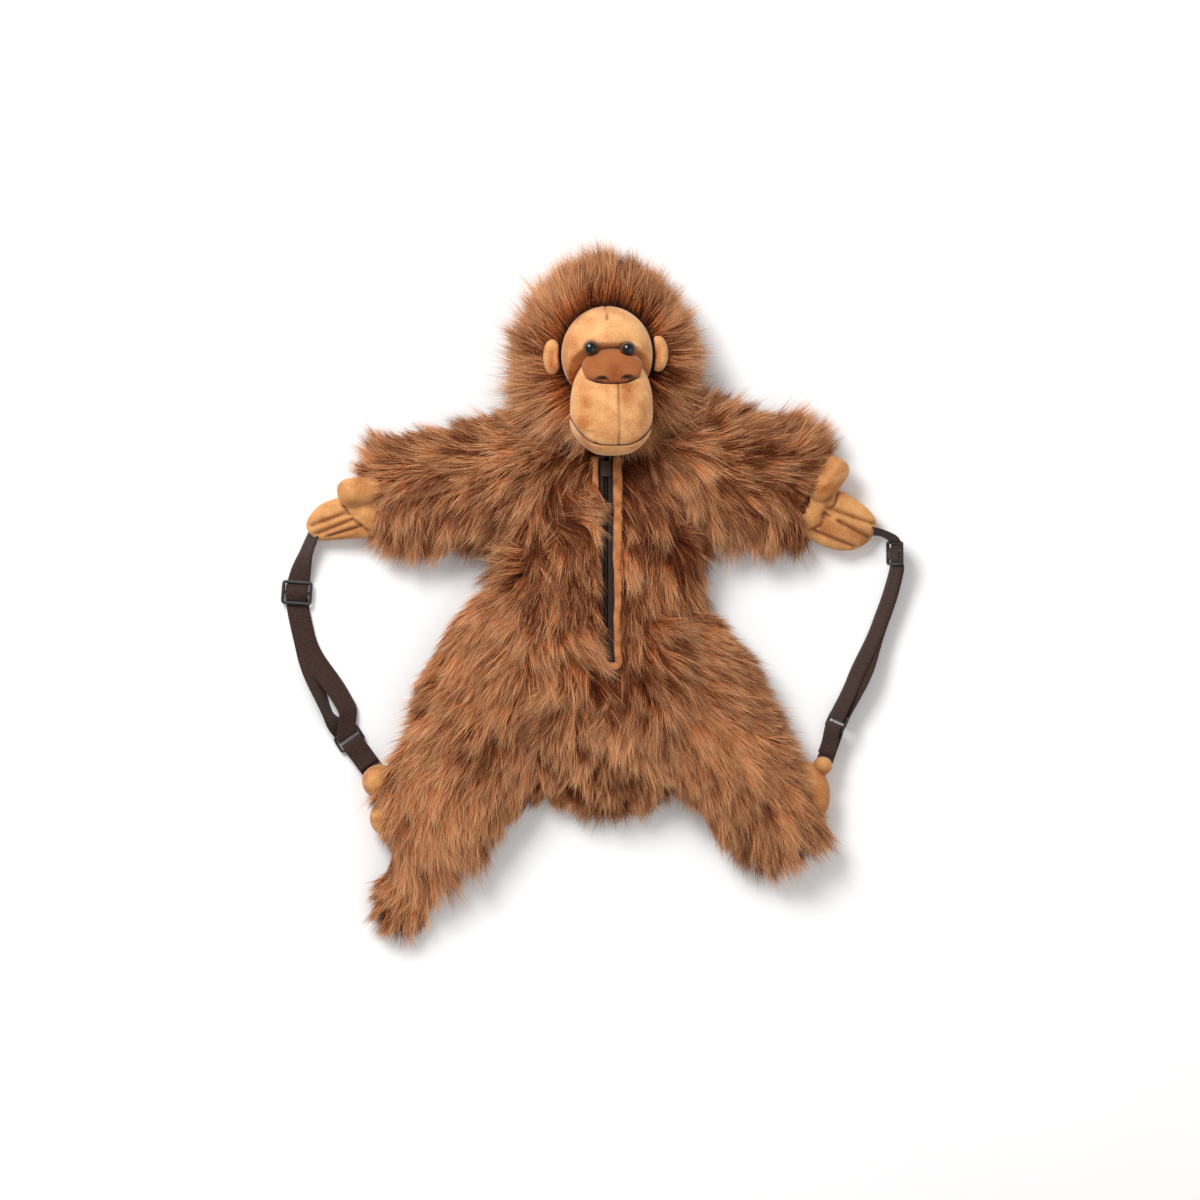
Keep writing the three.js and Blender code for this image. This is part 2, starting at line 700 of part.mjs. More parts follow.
// Webbing along a line of distances and heights over the route.
function ribbon(route, line, grow = 0) {
  const half = WEBBING.width / 2 + grow;
  const thick = WEBBING.thickness / 2 + grow;
  const sections = line.map((point, i) => {
    const before = line[Math.max(i - 1, 0)];
    const after = line[Math.min(i + 1, line.length - 1)];
    const slope = after.clone().sub(before).normalize();
    return [[-1, -1], [1, -1], [1, 1], [-1, 1]].map(([across, face]) => {
      const off = new THREE.Vector2(-slope.y, slope.x).multiplyScalar(face * thick);
      const frame = route.at(point.x + off.x);
      return placed(frame, across * half, point.y + off.y);
    });
  });
  return loft(sections);
}

function stretch(from, to, height) {
  const count = Math.max(Math.round(Math.abs(to - from) / RIBBON_STEP), 1);
  return Array.from({ length: count + 1 }, (_, i) => {
    return new THREE.Vector2(THREE.MathUtils.lerp(from, to, i / count), height);
  });
}

// Half a turn of webbing round a ring's bar, bulging towards the given side.
function barTurn(at, bulge, steps = 4) {
  return Array.from({ length: steps + 1 }, (_, i) => {
    const angle = -Math.PI / 2 + (Math.PI * i) / steps;
    return new THREE.Vector2(at + bulge * RING.turn * Math.cos(angle), RING.turn * (1 + Math.sin(angle)));
  });
}

function strapLine({ glideAt, ringAt }) {
  const rise = GLIDE.base + GLIDE.thickness + WEBBING.thickness / 2 + WEAVE.over;
  const over = GLIDE.middleBar / 2 + WEAVE.clear;
  const under = GLIDE.length / 2 - GLIDE.bar + WEAVE.clear;
  return [
    ...stretch(0, glideAt - under - WEAVE.lead, 0),
    new THREE.Vector2(glideAt - under, 0),
    new THREE.Vector2(glideAt - over, rise),
    new THREE.Vector2(glideAt + over, rise),
    new THREE.Vector2(glideAt + under, 0),
    ...stretch(glideAt + under + WEAVE.straight, ringAt - WEAVE.toTurn, 0),
    ...barTurn(ringAt, 1),
    ...stretch(ringAt - WEAVE.fromTurn, glideAt + under + WEAVE.end, LAYER),
  ];
}

function tabLine({ ringAt }, length) {
  const bar = ringAt + RING.pitch;
  const end = Math.min(bar + TAB.lap, length);
  return [
    ...stretch(length, bar + TAB.toTurn, 0),
    ...barTurn(bar, -1),
    ...stretch(bar + TAB.fromTurn, end, LAYER),
  ];
}

// A block on a route's frame, from one distance to another and to a half width on each side.
function block(frame, from, to, half, base, thickness) {
  const geometry = new THREE.BoxGeometry(to - from, 2 * half, thickness);
  const turn = new THREE.Matrix4().makeBasis(frame.along, frame.across, frame.face);
  geometry.translate((from + to) / 2, 0, base + thickness / 2);
  return toSolid(geometry.applyMatrix4(turn.setPosition(frame.place)));
}

function glide(frame, grow = 0) {
  const end = GLIDE.length / 2 + grow;
  const inner = GLIDE.length / 2 - GLIDE.bar - grow;
  const middle = GLIDE.middleBar / 2 + grow;
  const window = WEBBING.width / 2 + GLIDE.ease - grow;
  const thickness = GLIDE.thickness + 2 * grow;
  const plate = block(frame, -end, end, GLIDE.width / 2 + grow, GLIDE.base - grow, thickness);
  const through = 2 * (GLIDE.base + GLIDE.thickness);
  return cut(plate, [
    block(frame, -inner, -middle, window, 0, through),
    block(frame, middle, inner, window, 0, through),
  ]);
}

function ring(frame, grow = 0) {
  const half = RING.bar / 2 + grow;
  const outer = RING.width / 2 + grow;
  const inner = RING.width / 2 - RING.bar - grow;
  const plate = block(frame, -half, RING.pitch + half, outer, RING.turn - half, 2 * half);
  return cut(plate, [block(frame, half, RING.pitch - half, inner, 0, 2 * RING.turn)]);
}

// Assembly

const group = new THREE.Group();

function add(name, solid, look) {
  const material = new THREE.MeshStandardMaterial({ ...COLOURS[look], metalness: 0 });
  const mesh = new THREE.Mesh(toGeometry(solid), material);
  mesh.name = name;
  group.add(mesh);
}

add('back_panel', backPanel(), 'cloth');
add('torso_shell', torsoShell(), 'cloth');
add('zip_tape_left', zipTape(-1), 'zip');
add('zip_tape_right', zipTape(1), 'zip');
add('zip_coil', zipCoil(), 'zip');
add('zip_slider', zipSlider(), 'plastic');
add('zip_welt', zipWelt(), 'welt');

for (const eye of EYES) add(eye.name, ellipsoid(eye, FACETS.small), 'eye');
const eyesClear = EYES.map((eye) => ellipsoid(eye, FACETS.small, GAP));
const noseClear = ellipsoid(NOSE, FACETS.nose, GAP);
const muzzleClear = ellipsoid(MUZZLE, FACETS.face, GAP);
const lipClear = ellipsoid(LIP, FACETS.lip, GAP);
const faceClear = ellipsoid(FACE, FACETS.face, GAP);
const earsClear = EARS.map((ear) => ellipsoid(ear, FACETS.ear, GAP));
const snoutClear = [muzzleClear, lipClear, faceClear];

add('nose', cut(ellipsoid(NOSE, FACETS.nose), eyesClear), 'nose');
add('muzzle', cut(ellipsoid(MUZZLE, FACETS.face), [noseClear, ...eyesClear]), 'velour');
add('lip', cut(ellipsoid(LIP, FACETS.lip), [muzzleClear]), 'velour');
const featuresClear = [...eyesClear, noseClear, muzzleClear, lipClear];
add('face', cut(ellipsoid(FACE, FACETS.face), featuresClear), 'velour');
for (const ear of EARS) add(ear.name, cut(ellipsoid(ear, FACETS.ear), [faceClear]), 'velour');
add('head', cut(furredHead(0), [...snoutClear, ...earsClear, domeClear, weltRoom]), 'fur');
const headClear = furredHead(GAP);

const handsClear = HANDS.map((one) => hand(one, GAP));
const thumbsClear = HANDS.map((one) => lobe(one.thumb, GAP));
const feetClear = FEET.map((one) => foot(one, GAP));
HANDS.forEach((one, i) => {
  add(one.thumb.name, lobe(one.thumb, 0), 'velour');
  add(one.name, cut(hand(one), [thumbsClear[i]]), 'velour');
});
for (const one of FEET) add(one.name, foot(one), 'velour');

const strapsClear = [];
STRAPS.forEach((strap, i) => {
  const route = routeFrame(strap.route);
  const glideFrame = route.at(strap.glideAt);
  const ringFrame = route.at(strap.ringAt);
  const hardwareClear = [glide(glideFrame, GAP), ring(ringFrame, GAP)];
  add(`glide_${strap.side}`, glide(glideFrame), 'plastic');
  add(`ring_${strap.side}`, ring(ringFrame), 'plastic');
  const band = ribbon(route, strapLine(strap));
  add(`strap_${strap.side}`, cut(band, [...hardwareClear, handsClear[i], GROUND]), 'webbing');
  const tab = ribbon(route, tabLine(strap, route.length));
  add(`tab_${strap.side}`, cut(tab, [...hardwareClear, feetClear[i], GROUND]), 'webbing');
  strapsClear.push(ribbon(route, tabLine(strap, route.length), GAP));
});

const tailClear = furred(TAIL, GAP);
ARMS.forEach((limb, i) => {
  add(limb.name, cut(furred(limb), [domeClear, headClear, handsClear[i], thumbsClear[i]]), 'fur');
});
LEGS.forEach((limb, i) => {
  add(limb.name, cut(furred(limb), [domeClear, feetClear[i], strapsClear[i], tailClear]), 'fur');
});
add('tail', cut(furred(TAIL), [domeClear]), 'fur');

const limbsClear = [...ARMS, ...LEGS].map((limb) => furred(limb, GAP));
const coatRoom = [domeClear, headClear, muzzleClear, lipClear, weltRoom, tailClear, ...limbsClear];
add('torso_fur', cut(torsoCoat(), coatRoom), 'fur');

export default group;
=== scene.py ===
# %% [markdown]
# # A plush monkey backpack
# The real object is a soft toy that lies on its back with its arms and legs spread. Its body is a zipped bag,
# and webbing straps join its hands to its feet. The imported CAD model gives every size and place, so this file
# only dresses it: long fur, short velour, woven webbing and moulded plastic.

import bpy
import numpy as np
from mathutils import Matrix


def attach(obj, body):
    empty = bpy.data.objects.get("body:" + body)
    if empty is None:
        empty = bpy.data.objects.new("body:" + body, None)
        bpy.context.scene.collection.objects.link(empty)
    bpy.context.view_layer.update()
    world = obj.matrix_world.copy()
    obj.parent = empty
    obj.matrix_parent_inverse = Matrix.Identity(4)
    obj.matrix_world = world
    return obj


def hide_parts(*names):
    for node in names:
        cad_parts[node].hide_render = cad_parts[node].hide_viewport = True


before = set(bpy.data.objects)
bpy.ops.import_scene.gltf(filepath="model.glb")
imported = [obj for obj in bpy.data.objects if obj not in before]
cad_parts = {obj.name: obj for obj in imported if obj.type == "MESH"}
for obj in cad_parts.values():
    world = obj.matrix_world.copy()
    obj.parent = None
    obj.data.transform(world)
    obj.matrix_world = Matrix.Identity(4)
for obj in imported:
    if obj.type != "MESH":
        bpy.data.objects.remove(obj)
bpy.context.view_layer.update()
MM = 0.001

# %% [markdown]
# ## Camera and light
# The photograph looks straight down on a white floor. A long lens far away keeps the flat lay flat. A large
# soft lamp at the upper left gives the shadows that fall below and to the right. A weaker lamp and a pale
# sky fill them.

# %% Camera and light
scene = bpy.context.scene
FRAME_WIDTH = 1.08
CAMERA_HEIGHT = 20.0
AIM_Y = 9 * MM
SKY_COLOUR = (1.0, 0.98, 0.96, 1.0)
SKY_STRENGTH = 0.54
camera_data = bpy.data.cameras.new("camera")
camera_data.sensor_width = 36.0
camera_data.lens = camera_data.sensor_width * CAMERA_HEIGHT / FRAME_WIDTH
camera_data.clip_end = 50.0
camera = bpy.data.objects.new("camera", camera_data)
camera.location = (0.0, AIM_Y, CAMERA_HEIGHT)
scene.collection.objects.link(camera)
scene.camera = camera
scene.view_settings.view_transform = "Standard"


def srgb(red, green, blue):
    """A colour of the screen, 0 to 255, as the linear values that a shader takes."""
    share = np.array([red, green, blue]) / 255
    linear = np.where(share <= 0.04045, share / 12.92, ((share + 0.055) / 1.055) ** 2.4)
    return (*linear.tolist(), 1.0)


def soft_lamp(name, place, size, power):
    """A square lamp that faces the middle of the floor."""
    data = bpy.data.lights.new(name, "AREA")
    data.size = size
    data.energy = power
    lamp = bpy.data.objects.new(name, data)
    lamp.location = place
    lamp.rotation_euler = (-lamp.location).to_track_quat("-Z", "Y").to_euler()
    scene.collection.objects.link(lamp)


soft_lamp("key_lamp", (-1.1, 1.6, 2.2), 1.2, 72)
soft_lamp("fill_lamp", (1.6, -0.6, 2.4), 2.4, 14)
world = bpy.data.worlds.new("sky")
scene.world = world
world.use_nodes = True
sky = world.node_tree.nodes["Background"].inputs
sky["Color"].default_value = SKY_COLOUR
sky["Strength"].default_value = SKY_STRENGTH

# %% [markdown]
# ## Meshes from arrays
# Each form is a grid of points that numpy works out at once: rings along a length, or rings from pole to
# pole. These helpers turn such a grid into an object, close its ends, and turn its faces outward.

# %% Helpers for meshes
def stacked(*values):
    """Numbers or arrays, stretched to one shape, as the last axis of one array."""
    return np.stack(np.broadcast_arrays(*values), axis=-1)


def full_turn(steps, start=0.0):
    """Angles spread evenly over one full turn."""
    return np.linspace(start, start + 2 * np.pi, steps, endpoint=False)


def pole_to_pole(rings):
    """Angles of rings from pole to pole, without the poles themselves."""
    return np.linspace(-np.pi / 2, np.pi / 2, rings + 2)[1:-1]


def travelled(points):
    """The distance along a path to each of its points."""
    return np.concatenate([[0], np.cumsum(np.linalg.norm(np.diff(points, axis=0), axis=1))])


def read_along(distance, marks, values):
    """Rows of values, given at marks along a path, read at distances."""
    return np.stack([np.interp(distance, marks, one) for one in values.T], axis=-1)


def blunted(value, power):
    """A value's size to a power, with its sign kept. Below 1 it makes a round section more like a box."""
    return np.sign(value) * np.abs(value) ** power


def left_of(along):
    """The level direction at the left of level directions."""
    return stacked(-along[..., 1], along[..., 0], 0.0)


def grid_quads(rows, columns):
    """Four corners for each cell of a grid whose last column joins its first."""
    row, column = np.meshgrid(np.arange(rows - 1), np.arange(columns), indexing="ij")
    after = (column + 1) % columns
    here, below = row * columns, (row + 1) * columns
    return stacked(here + column, here + after, below + after, below + column).reshape(-1, 4)


def new_object(name, points, faces):
    """An object at the origin from points and faces."""
    mesh = bpy.data.meshes.new(name)
    mesh.from_pydata(np.asarray(points).tolist(), [], faces)
    mesh.update()
    mesh.shade_smooth()
    made = bpy.data.objects.new(name, mesh)
    scene.collection.objects.link(made)
    return made


def fan(ring, hub, last):
    """Triangles from a ring of point numbers to one hub, turned the other way at the last ring."""
    after = np.roll(ring, -1)
    edge = [ring, after] if last else [after, ring]
    return stacked(*edge, hub)


def closed_form(rings):
    """Points and faces of a closed form: rings of points joined by quads, with a fan at each end."""
    rows, columns, _ = rings.shape
    points = np.concatenate([rings.reshape(-1, 3), rings[0].mean(0)[None], rings[-1].mean(0)[None]])
    ring = np.arange(columns)
    faces = grid_quads(rows, columns).tolist()
    faces += fan(ring, rows * columns, False).tolist()
    faces += fan(ring + (rows - 1) * columns, rows * columns + 1, True).tolist()
    inner = points[[face[:3] for face in faces]] - points.mean(0)
    if np.einsum("ij,ij->i", inner[:, 0], np.cross(inner[:, 1], inner[:, 2])).sum() < 0:
        faces = [face[::-1] for face in faces]
    return points, faces


def joined(forms):
    """Points and faces of several forms as one form."""
    points, faces = np.zeros((0, 3)), []
    for more, cells in forms:
        faces += [[corner + len(points) for corner in cell] for cell in cells]
        points = np.concatenate([points, more])
    return points, faces


def closed_object(name, rings):
    """An object from rings of points in millimetres, closed at both ends."""
    return new_object(name, *closed_form(rings * MM))


def unit(vectors):
    """Vectors of length one."""
    return vectors / np.maximum(np.linalg.norm(vectors, axis=-1, keepdims=True), 1e-12)


SAME_PLACE = 1e-4


def smooth_curve(rows, shares, closed=False):
    """A curve through rows of numbers: a centripetal Catmull-Rom spline, read at shares from 0 to 1."""
    rows = np.asarray(rows, float)
    count = len(rows)
    if closed:
        padded = np.concatenate([rows[-1:], rows, rows[:2]])
    else:
        padded = np.concatenate([2 * rows[:1] - rows[1:2], rows, 2 * rows[-1:] - rows[-2:-1]])
    spans = count if closed else count - 1
    at = np.clip(np.asarray(shares, float), 0, 1) * spans
    first = np.minimum(at.astype(int), spans - 1)
    share = (at - first)[..., None]
    a, b, c, d = (padded[first + step] for step in range(4))
    gaps = [np.sqrt(np.linalg.norm(q - p, axis=-1, keepdims=True)) for p, q in ((a, b), (b, c), (c, d))]
    middle = np.where(gaps[1] < SAME_PLACE, 1.0, gaps[1])
    before, after = (np.where(gap < SAME_PLACE, middle, gap) for gap in (gaps[0], gaps[2]))
    leave = ((b - a) / before - (c - a) / (before + middle) + (c - b) / middle) * middle
    reach = ((c - b) / middle - (d - b) / (middle + after) + (d - c) / after) * middle
    cubic = 2 * b - 2 * c + leave + reach
    square = 3 * c - 3 * b - 2 * leave - reach
    return b + share * (leave + share * (square + share * cubic))


def finish_piece(piece, material, nodes=()):
    """A piece that moves with the part, wears a material, and stands for CAD nodes."""
    piece.data.materials.clear()
    piece.data.materials.append(material)
    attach(piece, "root")
    if nodes:
        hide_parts(*nodes)
    print(piece.name, len(piece.data.vertices), "points")
    return piece


# %% [markdown]
# ## Shader helpers
# Materials are built from nodes in code. One small function adds a node and joins it, and others do so for
# the kinds of node that come up often, so that each material reads as a short list of steps.

# %% Shader helpers
def add_node(tree, kind, inputs=None, **settings):
    """A node with its settings, whose inputs are joined to sockets or set to values."""
    made = tree.nodes.new(kind)
    for key, value in settings.items():
        setattr(made, key, value)
    for key, value in (inputs or {}).items():
        if isinstance(value, bpy.types.NodeSocket):
            tree.links.new(value, made.inputs[key])
        else:
            made.inputs[key].default_value = value
    return made


def ramp(tree, factor, stops):
    """A colour ramp through stops of (place, colour)."""
    made = add_node(tree, "ShaderNodeValToRGB", {"Fac": factor})
    elements = made.color_ramp.elements
    while len(elements) < len(stops):
        elements.new(0.5)
    for element, (place, colour) in zip(elements, stops):
        element.position = place
        element.color = colour
    return made.outputs["Color"]


def new_material(name, **values):
    """A material with a Principled shader, whose plain values are set on the shader's own sockets."""
    made = bpy.data.materials.new(name)
    made.use_nodes = True
    shader = made.node_tree.nodes["Principled BSDF"]
    for key, value in values.items():
        shader.inputs[key.replace("_", " ").title().replace("Ior", "IOR")].default_value = value
    return made, made.node_tree, shader


def object_place(tree):
    """The place in the object's own coordinates."""
    return add_node(tree, "ShaderNodeTexCoord").outputs["Object"]


def own_map(tree, name):
    """The place on one of the piece's own maps."""
    return add_node(tree, "ShaderNodeUVMap", uv_map=name).outputs["UV"]


def point_mark(tree, name):
    """A number that the piece carries for each of its points."""
    return add_node(tree, "ShaderNodeAttribute", attribute_name=name).outputs["Fac"]


def noise(tree, vector, scale, detail, **more):
    """A cloudy pattern from 0 to 1."""
    inputs = {"Vector": vector, "Scale": scale, "Detail": detail, **more}
    return add_node(tree, "ShaderNodeTexNoise", inputs).outputs["Fac"]


def maths(tree, operation, *values, **settings):
    """One step of arithmetic."""
    inputs = dict(enumerate(values))
    return add_node(tree, "ShaderNodeMath", inputs, operation=operation, **settings).outputs["Value"]


def map_range(tree, value, source=(0.0, 1.0), target=(0.0, 1.0), **settings):
    """A value carried from one range to another."""
    labels = ("From Min", "From Max", "To Min", "To Max")
    inputs = {"Value": value, **dict(zip(labels, (*source, *target)))}
    return add_node(tree, "ShaderNodeMapRange", inputs, **settings).outputs["Result"]


def blend_colours(tree, share, first, second):
    """A share of the way from one colour to another."""
    inputs = {0: share, 6: first, 7: second}
    return add_node(tree, "ShaderNodeMix", inputs, data_type="RGBA").outputs[2]


def dress(tree, shader, colour, height=None, strength=0.0, depth=0.0, roughness=None):
    """Joins a colour to a shader, and the height and the roughness of the surface where they are given."""
    tree.links.new(colour, shader.inputs["Base Color"])
    if height is not None:
        bump = add_node(tree, "ShaderNodeBump", {"Height": height, "Strength": strength, "Distance": depth})
        tree.links.new(bump.outputs["Normal"], shader.inputs["Normal"])
    if roughness is not None:
        tree.links.new(roughness, shader.inputs["Roughness"])


# %% Floor
FLOOR_HALF = 6.0
floor_material, tree, shader = new_material("pale_floor", roughness=0.9)
mottle = noise(tree, object_place(tree), 3.0, 2.0)
dress(tree, shader, ramp(tree, mottle, [(0.3, srgb(246, 246, 247)), (0.7, srgb(250, 250, 250))]))
corners = FLOOR_HALF * np.array([(-1, -1, 0), (1, -1, 0), (1, 1, 0), (-1, 1, 0)])
floor = new_object("floor", corners, [(0, 1, 2, 3)])
floor.data.materials.append(floor_material)

# %% [markdown]
# ## The stuffed forms under the fur
# The torso is a dome, the head an egg, and each limb a bent, tapered tube. They use the CAD model's own
# sizes, a little smaller, because the fur starts inside the solid's outline. Each form also carries a comb,
# which is the way its fur is brushed, and the fur's length there.

# %% Forms
FUR_INSET = 8.0
FLOOR_CLEAR = 0.6
ZIP_X = 5.4
ZIP = {"top": 138, "bottom": -46, "slot": 18, "gap": 13}
TORSO_CENTRE = (0.0, 5.0)
TORSO_BASE = 3.35
BELLY_CURVE = 2.6
DOME_TOP = 0.995
SMALL_SHARE = 1e-3
LEAST_HALF = 2.0
NO_TRIM = ((0, 0), (1, 0))
TORSO = [  # y, half width, height
    (166, 50, 34), (134, 75, 50), (80, 82, 60), (10, 80, 68), (-62, 90, 74), (-122, 80, 66), (-160, 46, 52),
]
HEAD = ((6, 228, 37), (64, 70, 42))
LIMBS = {  # x, y, z of the middle line, half width and half height
    "arm_left": [
        (-22, 138, 20, 36, 14), (-58, 133, 29, 48, 30), (-100, 118, 27, 49, 28),
        (-150, 109, 24, 49, 25), (-188, 104, 21, 42, 22), (-206, 102, 19, 24, 14),
    ],
    "arm_right": [
        (22, 148, 20, 36, 14), (58, 143, 29, 48, 30), (102, 130, 27, 52, 28),
        (148, 118, 24, 52, 25), (182, 107, 21, 42, 22), (197, 103, 19, 24, 14),
    ],
    "leg_left": [
        (-30, 14, 24, 36, 16), (-58, -28, 33, 66, 34), (-110, -108, 32, 66, 33),
        (-146, -171, 28, 60, 30), (-151, -203, 24, 45, 26), (-150, -228, 20, 29, 16),
    ],
    "leg_right": [
        (22, -2, 24, 32, 16), (50, -38, 33, 54, 34), (110, -114, 32, 60, 33),
        (148, -160, 28, 56, 30), (163, -190, 24, 45, 26), (172, -209, 21, 30, 17),
    ],
    "tail": [
        (-26, -130, 11, 15, 12), (-88, -170, 11, 15, 12), (-142, -216, 12, 15, 12),
        (-173, -253, 14, 24, 14), (-178, -273, 13, 19, 12), (-179, -283, 12, 7, 6),
    ],
}


def round_outline(rows, centre, steps):
    """Angles and distances of a closed outline seen from its centre, in order of the angle."""
    edge = smooth_curve(rows, np.linspace(0, 1, steps + 1), closed=True)[:-1] - centre
    heading = np.arctan2(edge[:, 1], edge[:, 0])
    order = np.argsort(heading)
    return heading[order], np.linalg.norm(edge, axis=1)[order]


outline_rows = [(half, y) for y, half, _ in TORSO] + [(-half, y) for y, half, _ in TORSO[::-1]]
outline_angles, outline_radii = round_outline(outline_rows, TORSO_CENTRE, 2000)


def torso_radius(angle):
    """Distance from the torso's centre to its outline in a direction of the plan."""
    return np.interp(angle, outline_angles, outline_radii, period=2 * np.pi)


def torso_tall(y):
    """Height of the torso's front along its length."""
    rows = np.array(TORSO[::-1], float)
    return np.interp(y, rows[:, 0], rows[:, 2])


def torso_height(x, y, grow=0.0):
    """Height of the torso's front above a place in plan: a rounded dome over its outline."""
    dx, dy = x - TORSO_CENTRE[0], y - TORSO_CENTRE[1]
    share = np.minimum(np.hypot(dx, dy) / (torso_radius(np.arctan2(dy, dx)) + grow), 1)
    return TORSO_BASE + (torso_tall(y) + grow) * (1 - share**BELLY_CURVE) ** (1 / BELLY_CURVE)


def torso_plan(angle, radius):
    """The place in plan at an angle and a distance from the torso's centre."""
    return TORSO_CENTRE[0] + radius * np.cos(angle), TORSO_CENTRE[1] + radius * np.sin(angle)


def torso_dome(grow, rings=28, around=96):
    """Rings from the torso's edge to its top; each lies a share of the way in and rises as the dome does."""
    lift = np.sin(np.linspace(0, np.pi / 2, rings) * DOME_TOP)[:, None]
    share = (1 - lift**BELLY_CURVE) ** (1 / BELLY_CURVE)
    angle = full_turn(around, -np.pi)[None]
    x, y = torso_plan(angle, (torso_radius(angle) + grow) * share)
    return stacked(x, y, TORSO_BASE + (torso_tall(y) + grow) * lift)


def egg(at, radii, grow, rings=24, around=64):
    """Rings of an ellipsoid from its lower pole to its upper one."""
    rise = pole_to_pole(rings)[:, None]
    turn = full_turn(around)[None]
    ball = stacked(np.cos(rise) * np.cos(turn), np.cos(rise) * np.sin(turn), np.sin(rise))
    return np.array(at) + ball * (np.array(radii) + grow)


def limb_frame(rows, shares):
    """Middle point, direction, sideways direction and sizes of a limb at shares of its length."""
    places = [row[:3] for row in rows]
    middle = smooth_curve(places, shares)
    size = smooth_curve([row[3:] for row in rows], shares)
    ends = [smooth_curve(places, np.clip(shares + sign * SMALL_SHARE, 0, 1)) for sign in (1, -1)]
    along = unit((ends[0] - ends[1]) * (1, 1, 0))
    return middle, along, left_of(along), size


def limb_tube(rows, grow, trims, rings=44, around=48):
    """Rings along a limb: its middle line plus an oval of its half width and half height. Trims take width
    off the side that faces the head, as shares along the limb and millimetres."""
    shares = np.linspace(0, 1, rings)
    middle, along, side, size = limb_frame(rows, shares)
    angle = full_turn(around)[None, :, None]
    trim = np.interp(shares, *np.array(trims, float).T)[:, None, None]
    trim = trim * (side[:, None, 1:2] * np.cos(angle) > 0)
    across = np.maximum(size[:, None, :1] + grow - trim * np.abs(np.cos(angle)), LEAST_HALF)
    tall = np.maximum(size[:, None, 1:] + grow, LEAST_HALF)
    tube = middle[:, None] + side[:, None] * across * np.cos(angle) + tall * np.sin(angle) * (0, 0, 1)
    tube[..., 2] = np.maximum(tube[..., 2], FLOOR_CLEAR)
    return tube, along, side, np.cos(angle)


def open_dome(name, grow, slot_half, low, thickness):
    """The dome without the cells over the zip, given a thickness inward."""
    rings = torso_dome(grow, rings=60, around=200)
    rows, columns, _ = rings.shape
    cells = grid_quads(rows, columns)
    middle = rings.reshape(-1, 3)[cells].mean(1)
    beside, along = np.abs(middle[:, 0] - ZIP_X), middle[:, 1]
    over_zip = (beside < slot_half) & (along > low) & (along < ZIP["top"])
    piece = new_object(name, rings.reshape(-1, 3) * MM, cells[~over_zip].tolist())
    thick = piece.modifiers.new("thickness", "SOLIDIFY")
    thick.thickness = thickness * MM
    thick.offset = -1
    return piece


print("torso radius to the right", torso_radius(0.0))

# %% [markdown]
# ## Long fur
# Real plush fur grows in small clumps, and clumps gather into locks. So each strand is a thin ribbon that
# starts beside a guide and leans towards the guide's tip, and each guide leans towards the middle of its
# lock. All strands of a piece are worked out as one array. A strand's map coordinates are its tone and the
# share of its length, so one small colour chart paints the coat, from roots in painted shade to pale tips.

# %% Fur material
fur_material, tree, shader = new_material("long_fur", roughness=0.65, specular_ior_level=0.1)
chart = own_map(tree, "OFBake")
parts = add_node(tree, "ShaderNodeSeparateXYZ", {"Vector": chart}).outputs
# Both ramps darken towards the root: painted shade deep in the coat.
deep = ramp(tree, parts["Y"], [(0.0, srgb(16, 4, 1)), (0.5, srgb(72, 25, 6)), (1.0, srgb(124, 56, 21))])
pale = ramp(
    tree, parts["Y"],
    [(0.0, srgb(50, 16, 4)), (0.4, srgb(202, 113, 58)), (1.0, srgb(255, 202, 150))],
)
dress(tree, shader, blend_colours(tree, parts["X"], deep, pale))

skin_material, tree, shader = new_material("fur_backing", roughness=0.95)
knit = noise(tree, object_place(tree), 900.0, 3.0)
backing_colour = ramp(tree, knit, [(0.3, srgb(34, 14, 6)), (0.7, srgb(66, 32, 16))])
dress(tree, shader, backing_colour, knit, 0.4, 0.0006)


# %% Growing strands
STRAND_POINTS = 3
STRANDS_IN_CLUMP = 9
GUIDES_IN_LOCK = 26
PARTING = 3.2
STRAND_WIDTH = 0.52
CLUMP_SPREAD = 3.0
GUIDE_LENGTHS = (0.76, 1.1)
STRAND_LENGTHS = (0.72, 1.05)
SHORT_AT_PARTING = 0.3
# painted shade: how much darker the strands are near a parting between locks
SHADE_AT_PARTING = 0.46
LIFT = 0.45
SAG = np.array([0, 0, 0.12])
GATHER = 0.55
SWIRL_WAVE, LIFT_WAVE, TONE_WAVE = 55, 40, 50
SPARE_PLACES = 4
RUFFLE = 1.7
MAP_EDGE = (0.005, 0.995)
JITTER = {  # how far random numbers change each of these
    "turn": 0.12, "lift": 0.25, "bend": 0.1, "wander": 0.09, "facing": 0.45, "clump": 0.22, "strand": 0.2,
}


def grid_normals(points):
    """Outward normals of a grid that closes around: the cross product of its two directions."""
    tangent = np.roll(points, -1, axis=1) - np.roll(points, 1, axis=1)
    normal = unit(np.cross(tangent, np.gradient(points, axis=0)))
    return normal * np.sign(np.einsum("ijk,ijk->", normal, points - points.mean((0, 1))))


